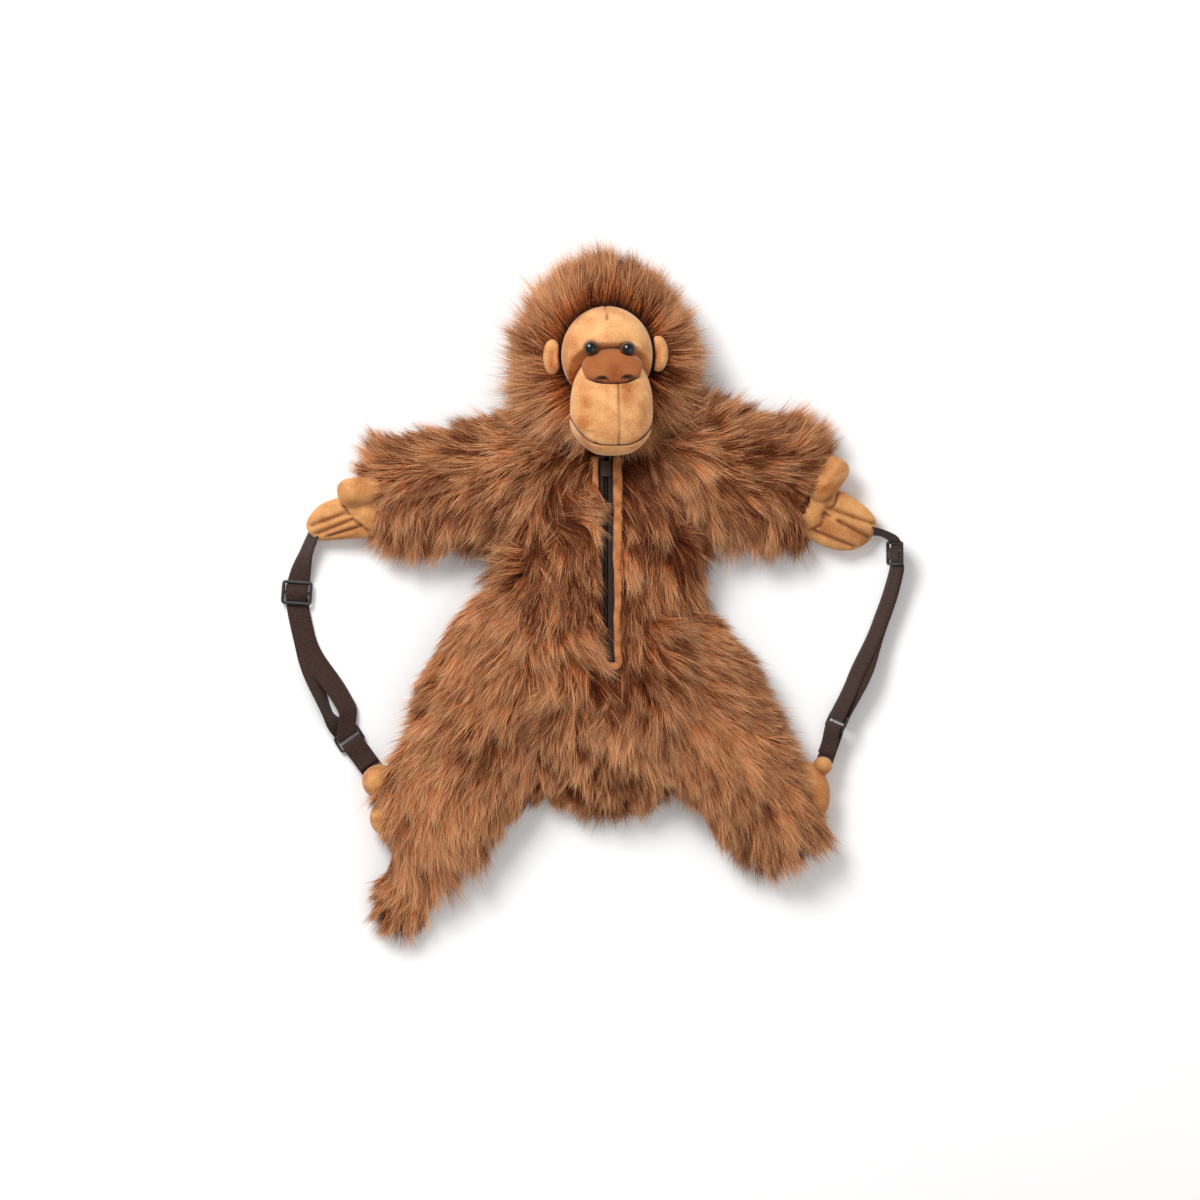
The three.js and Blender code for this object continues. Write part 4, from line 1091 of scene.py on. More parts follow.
def first_crossing(start, ways, name, leaving, grow, bend):
    """Distance along each way at which it leaves a form, or enters it, endless where it never does."""
    steps = np.linspace(0, 100, 161)
    values = form_level(bent(start + ways[..., None, :] * steps[:, None], bend), name, grow)
    crossed = values > 1 if leaving else values < 1
    first = np.maximum(crossed.argmax(-1), 1)[..., None]
    before, after = (np.take_along_axis(values, first - back, -1)[..., 0] for back in (1, 0))
    share = (1 - before) / (after - before)
    return np.where(crossed.any(-1), steps[first[..., 0] - 1] + share * (steps[1] - steps[0]), np.inf)


def soft_least(distances):
    """The least of several distances, rounded where two are alike."""
    stack = np.minimum(np.stack(distances), 1e3)
    return -CREASE * np.log(np.exp(-(stack - stack.min(0)) / CREASE).sum(0)) + stack.min(0)


def pressed_form(name, neighbours, slim, rings=72, around=112, start=None, bend=None):
    """Points of a form, less what its neighbours take, as rings seen from a point inside it."""
    start = np.array(FORMS[name][0] if start is None else start, float)
    ways = directions(rings, around)
    reaches = [first_crossing(start, ways, name, True, -slim, bend)]
    reaches += [first_crossing(start, ways, other, False, NEIGHBOUR_GAP, bend) for other in neighbours]
    return bent(start + ways * soft_least(reaches)[..., None], bend), ways


def near_line(points, line, width):
    """A soft mark along a line in plan: 1 on it, fading over its width."""
    line = smooth_curve(line, np.linspace(0, 1, 120))
    away = np.linalg.norm(points[..., None, :2] - line, axis=-1).min(-1)
    return np.exp(-((away / width) ** 2))


def near_place(points, place, size):
    """A soft round mark in plan: 1 at its middle, fading over its width and height."""
    return np.exp(-((((points[..., :2] - np.array(place)) / np.array(size)) ** 2).sum(-1)))


def velour_piece(
    name, points, ways, seams=(), dents=(), nap_and_shade=(), dark=(), shaded_holes=(),
    material=tan_velour, most=1.0, upper=0.0,
):
    """A stuffed piece from rings. Seams are sunk and held, dents are pushed in, and the nap is painted:
    mottled, with painted shade in soft places and in holes, and dark along lines."""
    top = ways[..., 2] > upper
    dark_seams_and_shade = np.zeros(points.shape[:2])
    plan = points
    for line, width, depth in seams:
        points = points - ways * (depth * near_line(plan, line, width) * top)[..., None]
        dark_seams_and_shade = np.maximum(dark_seams_and_shade, 0.8 * near_line(plan, line, max(width * 0.5, 0.8)) * top)
    for place, size, depth in dents:
        points = points - ways * (depth * near_place(plan, place, size) * top)[..., None]
    mottling = ruffle(plan.reshape(-1, 3), 14, np.random.default_rng(len(name)))
    nap_and_painted_shade = 0.1 + 0.12 * mottling.reshape(dark_seams_and_shade.shape)
    # painted shade: the nap darkens round each of these places
    for place, size, amount in nap_and_shade:
        nap_and_painted_shade = nap_and_painted_shade + amount * near_place(plan, place, size)
    for line, width in dark:
        dark_seams_and_shade = np.maximum(dark_seams_and_shade, near_line(plan, line, width) * top)
    # painted shade: holes are darkest inside, in the dark colour of the seams
    for place, size in shaded_holes:
        dark_seams_and_shade = np.maximum(dark_seams_and_shade, np.minimum(1.6 * near_place(plan, place, size), 1) * top)
    piece = closed_object(f"{name}_velour", points)
    dark_seams_and_shade, nap_and_painted_shade = (np.concatenate([values.ravel(), (0.0, 0.0)]) for values in (dark_seams_and_shade, nap_and_painted_shade))
    stuff(piece, most, held=dark_seams_and_shade if seams else None)
    mark(piece, "seam_and_shade", dark_seams_and_shade)
    mark(piece, "nap_and_shade", nap_and_painted_shade)
    finish_piece(smoother(piece), material, [name])
    return piece


# %% Face
points, ways = pressed_form(
    "face", ["nose", "muzzle", *EYES], slim=2.4, rings=84, around=128, start=(6.3, 220, 38),
)
velour_piece(
    "face", points, ways, most=1.2,
    seams=[([(4.5, 276), (5.2, 268), (6.8, 260)], 0.8, 0.9)],
    dents=[((-8.1, 236), (11, 9), 1.4), ((25.2, 235), (11, 9), 1.4)],
    # painted shade: under the brow between the eyes, on the cheeks and along the face's upper rim
    nap_and_shade=[
        ((8.5, 243), (13, 6), 0.35), ((-26, 232), (9, 20), 0.6), ((-24, 205), (12, 12), 0.7),
        ((44, 206), (9, 16), 0.6), ((-20, 262), (12, 6), 0.3), ((6, 276), (30, 8), 0.3),
        ((40, 232), (6, 12), 0.3),
    ],
)

# %% Snout and lower lip
mouth_across = np.linspace(-24, 48, 13)
mouth = stacked(mouth_across, mouth_line(mouth_across))
points, ways = pressed_form(
    "muzzle", ["nose", "chin", *EYES], slim=1.3, rings=84, around=128, start=(10.3, 186, 84),
)
velour_piece(
    "muzzle", points, ways, most=1.0, upper=-0.3,
    seams=[([(16.5, 204), (17.2, 185), (17.4, 165), (16.8, 147)], 0.8, 1.2)],
    dents=[
        ((-15.5, 168), (2.6, 6.5), 1.3), ((-10, 158), (5.0, 2.4), 1.8), ((-3, 153), (2.0, 5.0), 1.4),
        ((-6, 161), (4, 3), -0.9),
    ],
    # painted shade: under the nose, beside the seam, down both sides, above the mouth and by the dimples
    nap_and_shade=[
        ((24, 194), (8, 13), 0.7), ((-14, 186), (7, 15), 0.5), ((10, 170), (18, 12), 0.3),
        ((40, 172), (7, 20), 0.25), ((10, 201), (26, 4), 0.35), ((10, 154), (28, 6), 0.3),
        ((-18, 164), (6, 9), 0.5),
    ],
    dark=[(mouth, 0.5)],
)
points, ways = pressed_form(
    "muzzle", ["upper_jaw"], slim=1.0, rings=60, around=120, start=(11.0, 142.8, 84),
    bend=mouth_rise,
)
velour_piece(
    "lip", points, ways, most=0.6, upper=-0.6,
    dents=[((-14, 151), (2.0, 4.0), 0.9), ((-6, 147), (1.8, 4.0), 0.8)],
    # painted shade: at the lip's left end and in a band just under the mouth
    nap_and_shade=[((-16, 152), (12, 8), 0.4), ((10, 146), (40, 3), 0.3)], dark=[(mouth, 0.5)],
)

# %% Nose
points, ways = pressed_form("nose", EYES, slim=0.8, rings=64, around=110)
nostrils = [
    [(-4.4, 206.0), (-1.0, 208.6), (4.0, 208.2), (7.2, 205.2)],
    [(19.8, 206.4), (23.6, 209.6), (28.4, 209.6), (31.4, 207.0)],
]
velour_piece(
    "nose", points, ways, material=nose_velour, most=0.8, upper=-0.5,
    dents=[((1.4, 206.2), (5.2, 2.2), 3.2), ((25.6, 207.4), (5.2, 2.2), 3.2), ((13, 213), (5, 7), 1.0)],
    # painted shade: inside the nostril holes, in the middle dent and at both sides
    shaded_holes=[((1.4, 206.2), (4.4, 1.5)), ((25.6, 207.4), (4.4, 1.5))],
    nap_and_shade=[((13, 212), (7, 9), 0.75), ((30, 220), (8, 7), 0.3), ((-6, 222), (8, 6), 0.25)],
    dark=[(line, 0.8) for line in nostrils],
)

# %% Ears
for name in ("ear_left", "ear_right"):
    points, ways = pressed_form(name, ["face"], slim=0.8, rings=32, around=48)
    x, y, _ = FORMS[name][0]
    velour_piece(
        name, points, ways, most=0.6, dents=[((x, y), (4.5, 9), 3.2)],
        # painted shade in the hollow of the ear
        nap_and_shade=[((x, y - 2), (5, 12), 0.75)],
    )

# %% [markdown]
# ## Hands, thumbs and feet
# A hand is a flat mitten whose fingers are stitched apart: a cushion over its outline, with seams sunk
# between the fingers and along the fold of the palm. Thumbs and feet are round lobes. A voxel remesh welds
# lobes that overlap into one skin, and the stuffing swells it.

# %% Welding lobes
VOXEL = 1.5
# height in mm under which thumbs and feet get painted shade
SHADE_BELOW = 18


def lobe(start, end, first, last, rings=14, around=20):
    """Rings of a rounded, tapered lobe: half circles at both ends and a straight run between."""
    start, end = np.array(start, float), np.array(end, float)
    along = unit(end - start)
    side = unit(np.cross(along, (0.0, 0.0, 1.0)))
    up = np.cross(side, along)
    bow = pole_to_pole(rings)
    share = np.clip((np.sin(bow) + 1) / 2, 0, 1)
    radius = first + (last - first) * share
    reach = np.where(bow < 0, first * np.sin(bow), np.linalg.norm(end - start) + last * np.sin(bow))
    turn = full_turn(around)[None, :, None]
    wide = (radius * np.cos(bow) ** 0.7)[:, None, None]
    return start + along * reach[:, None, None] + wide * (np.cos(turn) * side + np.sin(turn) * up)


def welded(name, forms, material, most):
    """One skin round overlapping closed forms, evened out, stuffed, and smoothed once."""
    points, faces = joined(closed_form(rings * MM) for rings in forms)
    points[:, 2] = np.maximum(points[:, 2], FLOOR_CLEAR * MM)
    piece = new_object(f"{name}_velour", points, faces)
    piece.data.remesh_voxel_size = VOXEL * MM
    bpy.context.view_layer.objects.active = piece
    bpy.ops.object.voxel_remesh()
    even = piece.modifiers.new("even", "SMOOTH")
    even.factor = 0.5
    even.iterations = 3
    bpy.ops.object.modifier_apply(modifier="even")
    stuff(piece, most)
    piece.data.shade_smooth()
    mark(piece, "seam_and_shade", np.zeros(len(piece.data.vertices)))
    places = read_points(piece.data) / MM
    mottling = ruffle(places, 12, np.random.default_rng(len(name)))
    # mottled nap, plus painted shade on the low underside
    mark(piece, "nap_and_shade", 0.35 + 0.3 * mottling + 0.2 * (places[:, 2] < SHADE_BELOW))
    finish_piece(smoother(piece), material, [name])
    return piece


# %% Hands and thumbs
# middle, half height, lean of z along x and y, outline, fold of the palm, and the lines between the fingers
HANDS = {
    "hand_left": (
        (-222, 84, 16), 11.0, (0.105, 0.045),
        [
            (-238.2, 100.2), (-250.2, 95.4), (-258.6, 88.2), (-264, 78.6), (-263.5, 72.6),
            (-257.4, 65.4), (-250.2, 62.4), (-239.4, 63.2), (-225, 64.4), (-207, 65.4), (-193.5, 70.2),
            (-187.2, 85.5), (-193.5, 99), (-211.5, 106.2), (-226.8, 104),
        ],
        [(-231, 94.2), (-223.2, 82.8), (-207, 69.6)],
        [[(-229, 87), (-261, 75.5)], [(-223.5, 81), (-256, 67.6)], [(-215, 75), (-245, 65)]],
    ),
    "hand_right": (
        (210, 82, 16), 11.0, (-0.105, 0.055),
        [
            (213.9, 108.1), (223, 104.2), (233.5, 97.1), (242.6, 89.3), (248.4, 80.2), (247.5, 74.7),
            (243.9, 64.5), (236.1, 57.4), (225.6, 53.6), (213.9, 53.6), (200.9, 57.4), (187.9, 64.5),
            (175.5, 73.8), (169.2, 90), (175.5, 103.5), (190.8, 112.5), (204.3, 113.4),
        ],
        [(213.9, 107), (210.1, 93.2), (202.2, 88), (198.3, 76.2), (187.9, 71.7)],
        [[(204, 92), (247, 77)], [(202.2, 86.7), (243, 64.2)], [(192, 71), (229, 55.8)]],
    ),
}
THUMBS = {
    "thumb_left": ((-203, 109, 27), (-223.5, 106, 28), 12.6, 13.0),
    "thumb_right": ((199.5, 109, 26), (210, 124.5, 27), 12.8, 13.8),
}
BLUNT = 0.62
FINGER_SEAM, FOLD_SEAM = (2.0, 3.8), (1.8, 2.2)  # width and depth


def pillow(middle, half_height, lean, outline, rings=64, around=150):
    """Rings of a cushion over an outline: level lines shrink towards its middle as the height rises."""
    middle = np.array(middle, float)
    headings, reaches = round_outline(outline, middle[:2], 1600)
    turn = full_turn(around, -np.pi)
    radius = np.interp(turn, headings, reaches, period=2 * np.pi)[None]
    rise = pole_to_pole(rings)[:, None]
    share = np.cos(rise) ** BLUNT
    x, y = radius * share * np.cos(turn), radius * share * np.sin(turn)
    z = half_height * blunted(np.sin(rise), BLUNT) + lean[0] * x + lean[1] * y
    points = stacked(x, y, z) + middle
    points[..., 2] = np.maximum(points[..., 2], FLOOR_CLEAR + 0.4)
    return points, grid_normals(points)


for name, (middle, tall, lean, outline, fold, gaps) in HANDS.items():
    points, ways = pillow(middle, tall, lean, outline)
    seams = [(line, *FINGER_SEAM) for line in gaps] + [(fold, *FOLD_SEAM)]
    side = np.sign(middle[0])
    velour_piece(
        name, points, ways, seams=seams, most=0.8, upper=0.1, material=hand_velour,
        dents=[((side * 198.5, 102), (10, 7), -2.5), ((side * 186, 86), (12, 10), -2.0)],
        # painted shade: on the hand's lower half and under the thumb
        nap_and_shade=[
            ((side * 205, 74), (22, 10), 0.45), ((side * 232, 66), (16, 8), 0.35),
            ((side * 200, 90), (8, 8), 0.3),
        ],
    )
for name, one in THUMBS.items():
    welded(name, [lobe(*one)], hand_velour, most=0.6)

# %% Feet
FOOT_SLIM = 0.6
FEET = {  # each lobe: centre and radii
    "foot_left": [
        ((-198, -154, 20), (17, 16, 19)), ((-191, -187, 18), (17, 17, 17)),
        ((-180, -170, 17), (22, 26, 15)),
    ],
    "foot_right": [
        ((200, -140, 19), (9.5, 9, 14)), ((191, -166, 19), (17, 24, 17)),
        ((180, -158, 17), (22, 24, 15)),
    ],
}
for name, lobes in FEET.items():
    forms = [egg(at, radii, -FOOT_SLIM, rings=20, around=28) for at, radii in lobes]
    welded(name, forms, hand_velour, most=0.6)

# %% [markdown]
# ## Eyes
# The eyes are polished plastic domes with a narrow brown rim. A profile turned about the eye's middle gives
# both, and the map's second coordinate, the distance from that middle, tells the rim from the pupil.

# %% Eyes
eye_material, tree, shader = new_material("polished_eye", roughness=0.05, specular_ior_level=0.45)
out = add_node(tree, "ShaderNodeSeparateXYZ", {"Vector": own_map(tree, "rim")}).outputs["Y"]
stops = [(0.66, srgb(8, 6, 6)), (0.74, srgb(70, 40, 24)), (0.9, srgb(104, 66, 40)), (1.0, srgb(38, 22, 14))]
dress(tree, shader, ramp(tree, out, stops))


def eye_dome(at, wide, tall, rings=26, around=48):
    """A dome turned about Z with a flat rim: height falls as a circle does to the rim, then runs level."""
    share = np.concatenate([np.linspace(0.02, 0.7, rings), np.linspace(0.74, 1.0, 8)])
    bow = np.sqrt(np.maximum(1 - (share / 1.02) ** 2, 0))
    rim = np.where(share > 0.71, 0.86 * np.sqrt(np.maximum(1 - share**2, 0)), bow)
    turn = full_turn(around)[None]
    radius, height = share[:, None] * wide, rim[:, None] * tall
    under = np.array([(0.9, -0.25), (0.5, -0.5), (0.05, -0.55)])
    radius = np.concatenate([radius, under[:, :1] * wide])
    height = np.concatenate([height, under[:, 1:] * tall])
    rings_made = stacked(radius * np.cos(turn), radius * np.sin(turn), height) + np.array(at)
    return rings_made, np.concatenate([share, [1.0, 1.0, 1.0], [0.0, 1.0]])


def paint_map(piece, name, values):
    """A map from two coordinates that are given for each point."""
    corner = np.empty(len(piece.data.loops), np.int32)
    piece.data.loops.foreach_get("vertex_index", corner)
    layer = piece.data.uv_layers.new(name=name)
    layer.data.foreach_set("uv", np.asarray(values, np.float32)[corner].ravel())


for name in EYES:
    at, (wide, _, _, tall) = FORMS[name][:2]
    rings, out = eye_dome(at, wide, tall)
    piece = closed_object(f"{name}_dome", rings)
    around = rings.shape[1]
    share = np.concatenate([np.repeat(out[:-2], around), out[-2:]])
    paint_map(piece, "rim", stacked(np.resize(np.linspace(0, 1, around), share.size), share))
    finish_piece(piece, eye_material, [name])

# %% [markdown]
# ## Woven cloth, webbing and plastic
# Webbing, zip tape and the bag's cloth are all woven, so one group draws threads over and under on a map in
# millimetres, or on the object's own coordinates. The buckles are moulded plastic with a faint grain.

# %% Weave and plastic
weave_group, given, result = node_group(
    "Weave",
    [
        ("Vector", VECTOR, (0.0, 0.0, 0.0)), ("Thread", COLOUR, WHITE), ("Gap", COLOUR, WHITE),
        ("Across", NUMBER, 1.0), ("Along", NUMBER, 1.0),
    ],
    [("Color", COLOUR), ("Height", NUMBER)],
)
parts = add_node(weave_group, "ShaderNodeSeparateXYZ", {"Vector": given["Vector"]}).outputs
warp = maths(weave_group, "MULTIPLY", parts["X"], given["Across"])
weft = maths(weave_group, "MULTIPLY", parts["Y"], given["Along"])
ribs = [maths(weave_group, "SINE", value) for value in (warp, maths(weave_group, "ADD", warp, weft))]
height = map_range(weave_group, maths(weave_group, "MULTIPLY", *ribs), (-1.0, 1.0))
worn = maths(weave_group, "MULTIPLY", height, noise(weave_group, given["Vector"], 0.35, 3.0))
weave_group.links.new(blend_colours(weave_group, worn, given["Gap"], given["Thread"]), result["Color"])
weave_group.links.new(height, result["Height"])


def woven_material(name, thread, gap, across, along, chart=None):
    """A weave on the piece's own map in millimetres, or on object coordinates where it has none."""
    made, tree, shader = new_material(name, roughness=0.8, specular_ior_level=0.25, sheen_weight=0.1)
    if chart:
        vector = own_map(tree, chart)
    else:
        scaled = {"Vector": object_place(tree), "Scale": (1 / MM, 1 / MM, 1 / MM)}
        vector = add_node(tree, "ShaderNodeMapping", scaled).outputs["Vector"]
    colours = {"Thread": srgb(*thread), "Gap": srgb(*gap)}
    inputs = {"Vector": vector, **colours, "Across": across, "Along": along}
    weave = add_node(tree, "ShaderNodeGroup", inputs, node_tree=weave_group).outputs
    dress(tree, shader, weave["Color"], weave["Height"], 0.7, 0.0003)
    return made


webbing_material = woven_material("webbing", (97, 65, 54), (31, 18, 14), 3.6, 2.6, chart="threads")
tape_material = woven_material("zip_tape", (84, 58, 47), (26, 15, 11), 6.0, 6.0)
cloth_material = woven_material("bag_cloth", (104, 70, 48), (54, 34, 22), 5.0, 5.0)


def plastic(name, dark, pale):
    """Moulded plastic with a faint grain in its colour, its gloss and its surface."""
    made, tree, shader = new_material(name, specular_ior_level=0.5)
    grain = noise(tree, object_place(tree), 700.0, 3.0)
    rough = map_range(tree, grain, target=(0.3, 0.48))
    colour = ramp(tree, grain, [(0.3, srgb(*dark)), (0.75, srgb(*pale))])
    dress(tree, shader, colour, grain, 0.15, 0.0003, rough)
    return made


plastic_material = plastic("moulded_plastic", (20, 18, 18), (34, 31, 30))
nylon_material = plastic("zip_nylon", (44, 28, 22), (74, 52, 42))

# %% [markdown]
# ## Straps and buckles
# Each strap is one length of flat webbing. It leaves the fingertips rolled on its edge, weaves through a
# sliding buckle, runs on to a ring, and turns back to the buckle as a second layer. A short tab joins the
# ring to the foot. The route repeats the CAD model's points; a thin section is carried along it.

# %% Routes
STRAPS = {  # distance of the slider and of the ring, then x, y, z and roll along the route
    "left": (62, 196, [
        (-255, 74, 10.5, 62), (-264, 52, 9, 55), (-270.5, 28, 4, 14), (-272.5, 10, 1.6, 2),
        (-269, -12, 1.2, 2), (-261, -42, 1.2, 2), (-246, -76, 1.2, 2), (-231, -107, 1.4, 2),
        (-214, -131, 4, 2), (-200, -150, 12, 2),
    ]),
    "right": (42, 198, [
        (238, 72, 10.5, 66), (256, 68.5, 11, 74), (267, 60, 14, 64), (268.5, 44, 14, 58),
        (263, 18, 11, 54), (252, -14, 10, 52), (240, -46, 10, 50), (226, -78, 11.5, 50),
        (214, -104, 12, 48), (202, -136, 14, 44),
    ]),
}
WEBBING_WIDTH = 20.0
WEBBING_THICK = 1.2
LAYER = 1.6
GLIDE = {"length": 22, "width": 28, "thickness": 2.8, "bar": 3, "middle": 4, "base": 2.8}
RING = {"width": 26, "bar": 2.6, "pitch": 14, "turn": 2.8}
TURN_REACH = 7.6
# how far the lower and the upper layer lie aside, and their roll, then where, and over which lengths
SWAYS = {
    "left": ((-6, -66), (10.5, -35), 30, 26, 75),
    "right": ((4, 0), (-4, 0), 50, 44, 44),
    None: ((0, 0), (0, 0), 1, 1, 1),
}
STRAP_START = 6.5
WEBBING_CLEAR = 0.45
BAR_CLEAR = 0.6
WEBBING_STEP = 3.0
EASING = np.array([1, 2, 3, 2, 1]) / 9
WEBBING_LOW = 0.15


class Route:
    """A strap's route: places and rolls read by the distance along it."""

    def __init__(self, rows):
        rows = np.array(rows, float)
        shares = np.linspace(0, 1, 3000)
        self.places = smooth_curve(rows[:, :3], shares)
        self.rolls = np.radians(smooth_curve(rows[:, 3:], shares)[:, 0])
        self.distances = travelled(self.places)
        self.length = float(self.distances[-1])
        self.along = unit(np.gradient(self.places, axis=0) * (1, 1, 0))

    def at(self, distance):
        """Place, direction, width direction and face direction at distances along the route."""
        along = unit(read_along(distance, self.distances, self.along))
        roll = np.interp(distance, self.distances, self.rolls)[..., None]
        across = left_of(along) * np.cos(roll) + np.array([0, 0, 1.0]) * np.sin(roll)
        place = read_along(distance, self.distances, self.places)
        return place, along, across, np.cross(along, across)


def run(start, end, height, step=6.0):
    """Distances and heights of a straight run."""
    count = max(int(round(abs(end - start) / step)), 1) + 1
    return stacked(np.linspace(start, end, count), float(height))


def bar_turn(at, bulge, steps=8):
    """Half a turn of webbing round a ring's bar."""
    angle = np.linspace(-np.pi / 2, np.pi / 2, steps + 1)
    return stacked(at + bulge * TURN_REACH * np.cos(angle), RING["turn"] * (1 + np.sin(angle)))


def strap_line(slider, ring):
    """The strap's middle line: under and over the slider's bars, on to the ring, round it and back on top."""
    rise = GLIDE["base"] + GLIDE["thickness"] + WEBBING_THICK / 2 + WEBBING_CLEAR
    over = GLIDE["middle"] / 2 + BAR_CLEAR
    under = GLIDE["length"] / 2 - GLIDE["bar"] + BAR_CLEAR
    weave = [(slider - under, 0), (slider - over, rise), (slider + over, rise), (slider + under, 0)]
    return np.concatenate([
        run(STRAP_START, slider - under - 12, 0), weave, run(slider + under + 10, ring - 4, 0),
        bar_turn(ring, 1), run(ring - 28, slider + under + 1.6, LAYER),
    ])


def tab_line(ring, length):
    """The tab's middle line: from the foot to the ring's far bar, round it and back."""
    bar = ring + RING["pitch"]
    return np.concatenate([
        run(length, bar + 4, 0), bar_turn(bar, -1), run(bar + 12, min(bar + 24, length), LAYER),
    ])


SECTION = np.array([  # shares of half the width and half the thickness
    (-1, -0.45), (-0.98, -1), (-0.5, -1), (0, -1), (0.5, -1), (0.98, -1), (1, -0.45),
    (1, 0.45), (0.98, 1), (0.5, 1), (0, 1), (-0.5, 1), (-0.98, 1), (-1, 0.45),
])


def webbing_piece(name, route, line, sway=None):
    """Webbing along a line of distances and heights: a thin section carried along the route's frame. Its
    two layers sway apart and roll on their edges at a distance from the turn: cos^2 over a half length."""
    spans = travelled(line)
    marks = np.linspace(0, spans[-1], int(spans[-1] / WEBBING_STEP))
    dense = read_along(marks, spans, line)
    ease = lambda values: np.convolve(np.pad(values, 2, mode="edge"), EASING, mode="valid")
    eased = np.apply_along_axis(ease, 0, dense)
    eased[[0, -1]] = dense[[0, -1]]
    slope = unit(np.gradient(eased, axis=0))
    off = SECTION[None, :, 1:] * WEBBING_THICK / 2 * stacked(-slope[:, 1], slope[:, 0])[:, None]
    place, along, across, face = route.at(eased[:, None, 0] + off[..., 0])
    lower, upper, centre, near, far = SWAYS[sway]
    from_turn = marks - marks[eased[:, 0].argmax()]
    away = np.abs(from_turn) - centre
    bow = np.cos(np.clip(away / np.where(away < 0, near, far), -1, 1) * np.pi / 2) ** 2
    shift, roll = (bow[:, None] * np.where(from_turn[:, None] < 0, lower, upper)).T[..., None, None]
    angle = np.radians(roll)
    lift = WEBBING_WIDTH / 2 * np.abs(np.sin(angle))
    place = place + across * shift + face * lift
    wide = across * np.cos(angle) + face * np.sin(angle)
    out = face * np.cos(angle) - across * np.sin(angle)
    aside = SECTION[:, 0] * WEBBING_WIDTH / 2
    rings = place + wide * aside[None, :, None] + out * (eased[:, None, 1:] + off[..., 1:])
    rings[..., 2] = np.maximum(rings[..., 2], WEBBING_LOW)
    piece = closed_object(f"{name}_webbing", rings)
    travel = travelled(eased)
    chart = stacked(aside, travel[:, None]).reshape(-1, 2)
    paint_map(piece, "threads", np.concatenate([chart, chart[:1], chart[-1:]]))
    finish_piece(piece, webbing_material, [name])
    print(name, "length", round(float(travel[-1])), "mm")


# %% Buckles
BAR_BLUNT = 0.6
BUCKLE_CORNER = 2.0


def rounded_frame(length, width, corner, steps=6):
    """A closed path round a rectangle with rounded corners, along and across."""
    half = np.array([length / 2 - corner, width / 2 - corner])
    angle = np.linspace(0, np.pi / 2, steps)
    signs = [(1, 1), (-1, 1), (-1, -1), (1, -1)]
    arcs = []
    for quarter, sign in enumerate(signs):
        heading = angle + quarter * np.pi / 2
        arcs.append(half * sign + corner * stacked(np.cos(heading), np.sin(heading)))
    return np.concatenate(arcs)


def bar_along(path, half_wide, half_tall, closed, around=12):
    """A rounded bar carried along a flat path: an oval with blunt sides round each of its points."""
    ahead = np.roll(path, -1, axis=0) - np.roll(path, 1, axis=0) if closed else np.gradient(path, axis=0)
    ahead = unit(ahead)
    out = stacked(ahead[:, 1], -ahead[:, 0])
    turn = full_turn(around)
    flat = path[:, None] + out[:, None] * (half_wide * blunted(np.cos(turn), BAR_BLUNT))[None, :, None]
    return stacked(flat[..., 0], flat[..., 1], half_tall * blunted(np.sin(turn), BAR_BLUNT))


def loop_form(rings):
    """Points and faces of rings that close on themselves, as those of a buckle's frame do."""
    rows, columns, _ = rings.shape
    cells = grid_quads(rows + 1, columns) % (rows * columns)
    return rings.reshape(-1, 3), cells[:, ::-1].tolist()


def buckle_piece(name, frame_at, height, bars):
    """A buckle from loops and rods in its own frame, set on the route."""
    place, along, across, face = frame_at
    points, faces = joined(bars)
    points = place + points[:, :1] * along + points[:, 1:2] * across + (points[:, 2:] + height) * face
    piece = new_object(f"{name}_moulded", points * MM, faces)
    finish_piece(smoother(piece), plastic_material, [name])


for side, (slider, ring, rows) in STRAPS.items():
    route = Route(rows)
    webbing_piece(f"strap_{side}", route, strap_line(slider, ring), side)
    webbing_piece(f"tab_{side}", route, tab_line(ring, route.length))
    bar = GLIDE["bar"]
    outer = rounded_frame(GLIDE["length"] - bar, GLIDE["width"] - bar, BUCKLE_CORNER)
    middle = stacked(0.0, np.linspace(-1, 1, 9) * (GLIDE["width"] / 2 - bar))
    tall = GLIDE["thickness"] / 2
    bars = [
        loop_form(bar_along(outer, bar / 2, tall, True)),
        closed_form(bar_along(middle, GLIDE["middle"] / 2, tall * 0.9, False)),
    ]
    buckle_piece(f"glide_{side}", route.at(np.array(float(slider))), GLIDE["base"] + tall, bars)
    loop = rounded_frame(RING["pitch"], RING["width"] - RING["bar"], BUCKLE_CORNER) + (RING["pitch"] / 2, 0)
    bars = [loop_form(bar_along(loop, RING["bar"] / 2, RING["bar"] / 2, True))]
    buckle_piece(f"ring_{side}", route.at(np.array(float(ring))), RING["turn"], bars)

# %% [markdown]
# ## The zip
# The zip lies in a slot of the bag's front. Two woven tapes meet at a coil, which is a real helix of nylon,
# and a folded welt of tan velour runs down both sides and across the lower end. All of it follows the
# belly's curve.

# %% Tapes and coil
TAPES = {"zip_tape_left": (-8.6, -1.9), "zip_tape_right": (1.9, 8.6)}
TAPE_LOW, TAPE_THICK, TAPE_END = -2.4, 1.0, 0.4
COIL = {"top": 119, "pitch": 1.6, "wide": 1.05, "tall": 0.65, "wire": 0.42, "wire_along": 0.3, "low": -1.9}


def over_belly(x, y, lift):
    """Points at a lift over the torso's front."""
    return stacked(x, y, torso_height(x, y) + lift)


length_marks = np.linspace(ZIP["top"] - TAPE_END, ZIP["bottom"] + TAPE_END, 90)[:, None]
for name, (near, far) in TAPES.items():
    across = np.array([near, (near + far) / 2, far, far, (near + far) / 2, near])
    lift = TAPE_LOW + TAPE_THICK * np.array([0, 0, 0, 1, 1, 1])
    piece = closed_object(f"{name}_woven", over_belly(ZIP_X + across, length_marks, lift))
    finish_piece(piece, tape_material, [name])

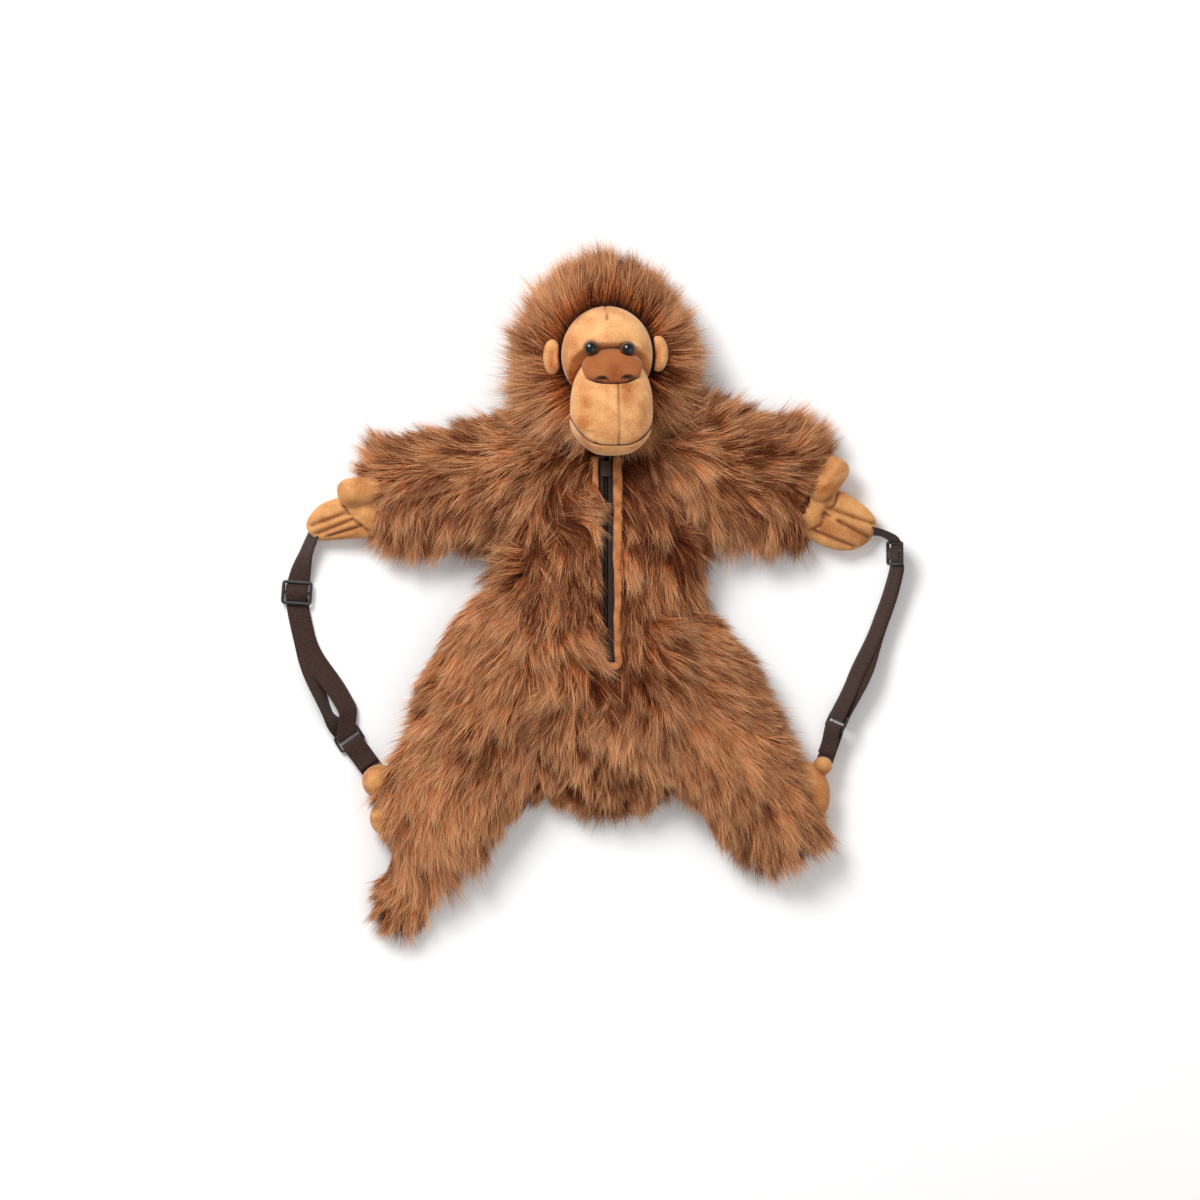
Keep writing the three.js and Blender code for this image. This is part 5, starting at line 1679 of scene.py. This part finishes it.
turns = (COIL["top"] - ZIP["bottom"]) / COIL["pitch"]
swing = np.linspace(0, turns * 2 * np.pi, int(turns * 9))[:, None]
wire = full_turn(5)
across = (COIL["wide"] + COIL["wire"] * np.cos(wire)) * np.cos(swing)
along = COIL["top"] - COIL["pitch"] * swing / (2 * np.pi) + COIL["wire_along"] * np.sin(wire)
lift = COIL["low"] + (COIL["tall"] + COIL["wire"] * np.cos(wire)) * np.sin(swing)
piece = closed_object("zip_coil_helix", over_belly(ZIP_X + across, along, lift))
finish_piece(piece, nylon_material, ["zip_coil"])

# %% Welt and slider
WELT_WIDTH, WELT_TALL, WELT_LIFT = 9.0, 2.2, 0.45
WELT_FOOT = 8.5
WELT_LOW = ZIP["bottom"] + 4
SQUARE_CORNER, ROUND_TOP = 0.35, 0.7

half = ZIP["gap"] / 2 + WELT_WIDTH / 2
straight = np.linspace(ZIP["top"], WELT_LOW, 70)
corner = np.linspace(0, np.pi, 24)[1:-1]
foot = stacked(
    half * blunted(np.cos(corner), SQUARE_CORNER),
    WELT_LOW - WELT_FOOT * np.sin(corner) ** SQUARE_CORNER,
)
path = np.concatenate([stacked(half, straight), foot, stacked(-half, straight[::-1])])
path[:, 0] += 0.45 * np.sin(path[:, 1] / 11) + 0.25 * np.sin(path[:, 1] / 4.3)
ahead = unit(np.gradient(path, axis=0))
out = stacked(-ahead[:, 1], ahead[:, 0])
turn = full_turn(14)
slim = np.clip(0.78 + 0.22 * (path[:, 1] + 40) / 120, 0.78, 1)
wide = WELT_WIDTH / 2 * slim[:, None] * blunted(np.cos(turn), ROUND_TOP)
tall = WELT_TALL * np.maximum(blunted(np.sin(turn), ROUND_TOP), 0) + WELT_LIFT
plan = path[:, None] + out[:, None] * wide[..., None]
piece = closed_object("zip_welt_velour", over_belly(ZIP_X + plan[..., 0], plan[..., 1], tall))
mark(piece, "seam_and_shade", np.zeros(len(piece.data.vertices)))
mottling = ruffle(read_points(piece.data) / MM, 9, np.random.default_rng(5))
mark(piece, "nap_and_shade", 0.3 + 0.35 * mottling)
finish_piece(piece, welt_velour, ["zip_welt"])
finish_piece(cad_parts["zip_slider"], nylon_material)

# %% [markdown]
# ## The bag's cloth
# Under the fur the torso is a hollow cloth shell, open at the zip, sewn to a flat back panel. The shell is
# the dome's surface with the zip's slot left out, thickened inward. The back panel is flat where it lies.

# %% Shell and back panel
SHELL_INSET, SHELL_THICK = 0.2, 2.2
PANEL_SHARES = np.array([1.0, 1.0, 0.98, 0.9, 0.6, 0.3, 0.02])[:, None]
PANEL_TOP = np.array([1.6, 2.6, 3.0, 2.8, 2.8, 2.8, 2.8])[:, None]


def panel_rings(shares, height):
    """Rings of the back panel: the torso's outline drawn in by shares, at a height."""
    angle = full_turn(160, -np.pi)
    return stacked(*torso_plan(angle, torso_radius(angle) * shares), height)


shell = open_dome("torso_shell_cloth", -SHELL_INSET, ZIP["slot"] / 2, ZIP["bottom"], SHELL_THICK)
finish_piece(shell, cloth_material, ["torso_shell"])

rings = np.concatenate([panel_rings(PANEL_SHARES[::-1], 0.0), panel_rings(PANEL_SHARES, PANEL_TOP)])
panel = closed_object("back_panel_cloth", rings)
finish_piece(panel, cloth_material, ["back_panel"])
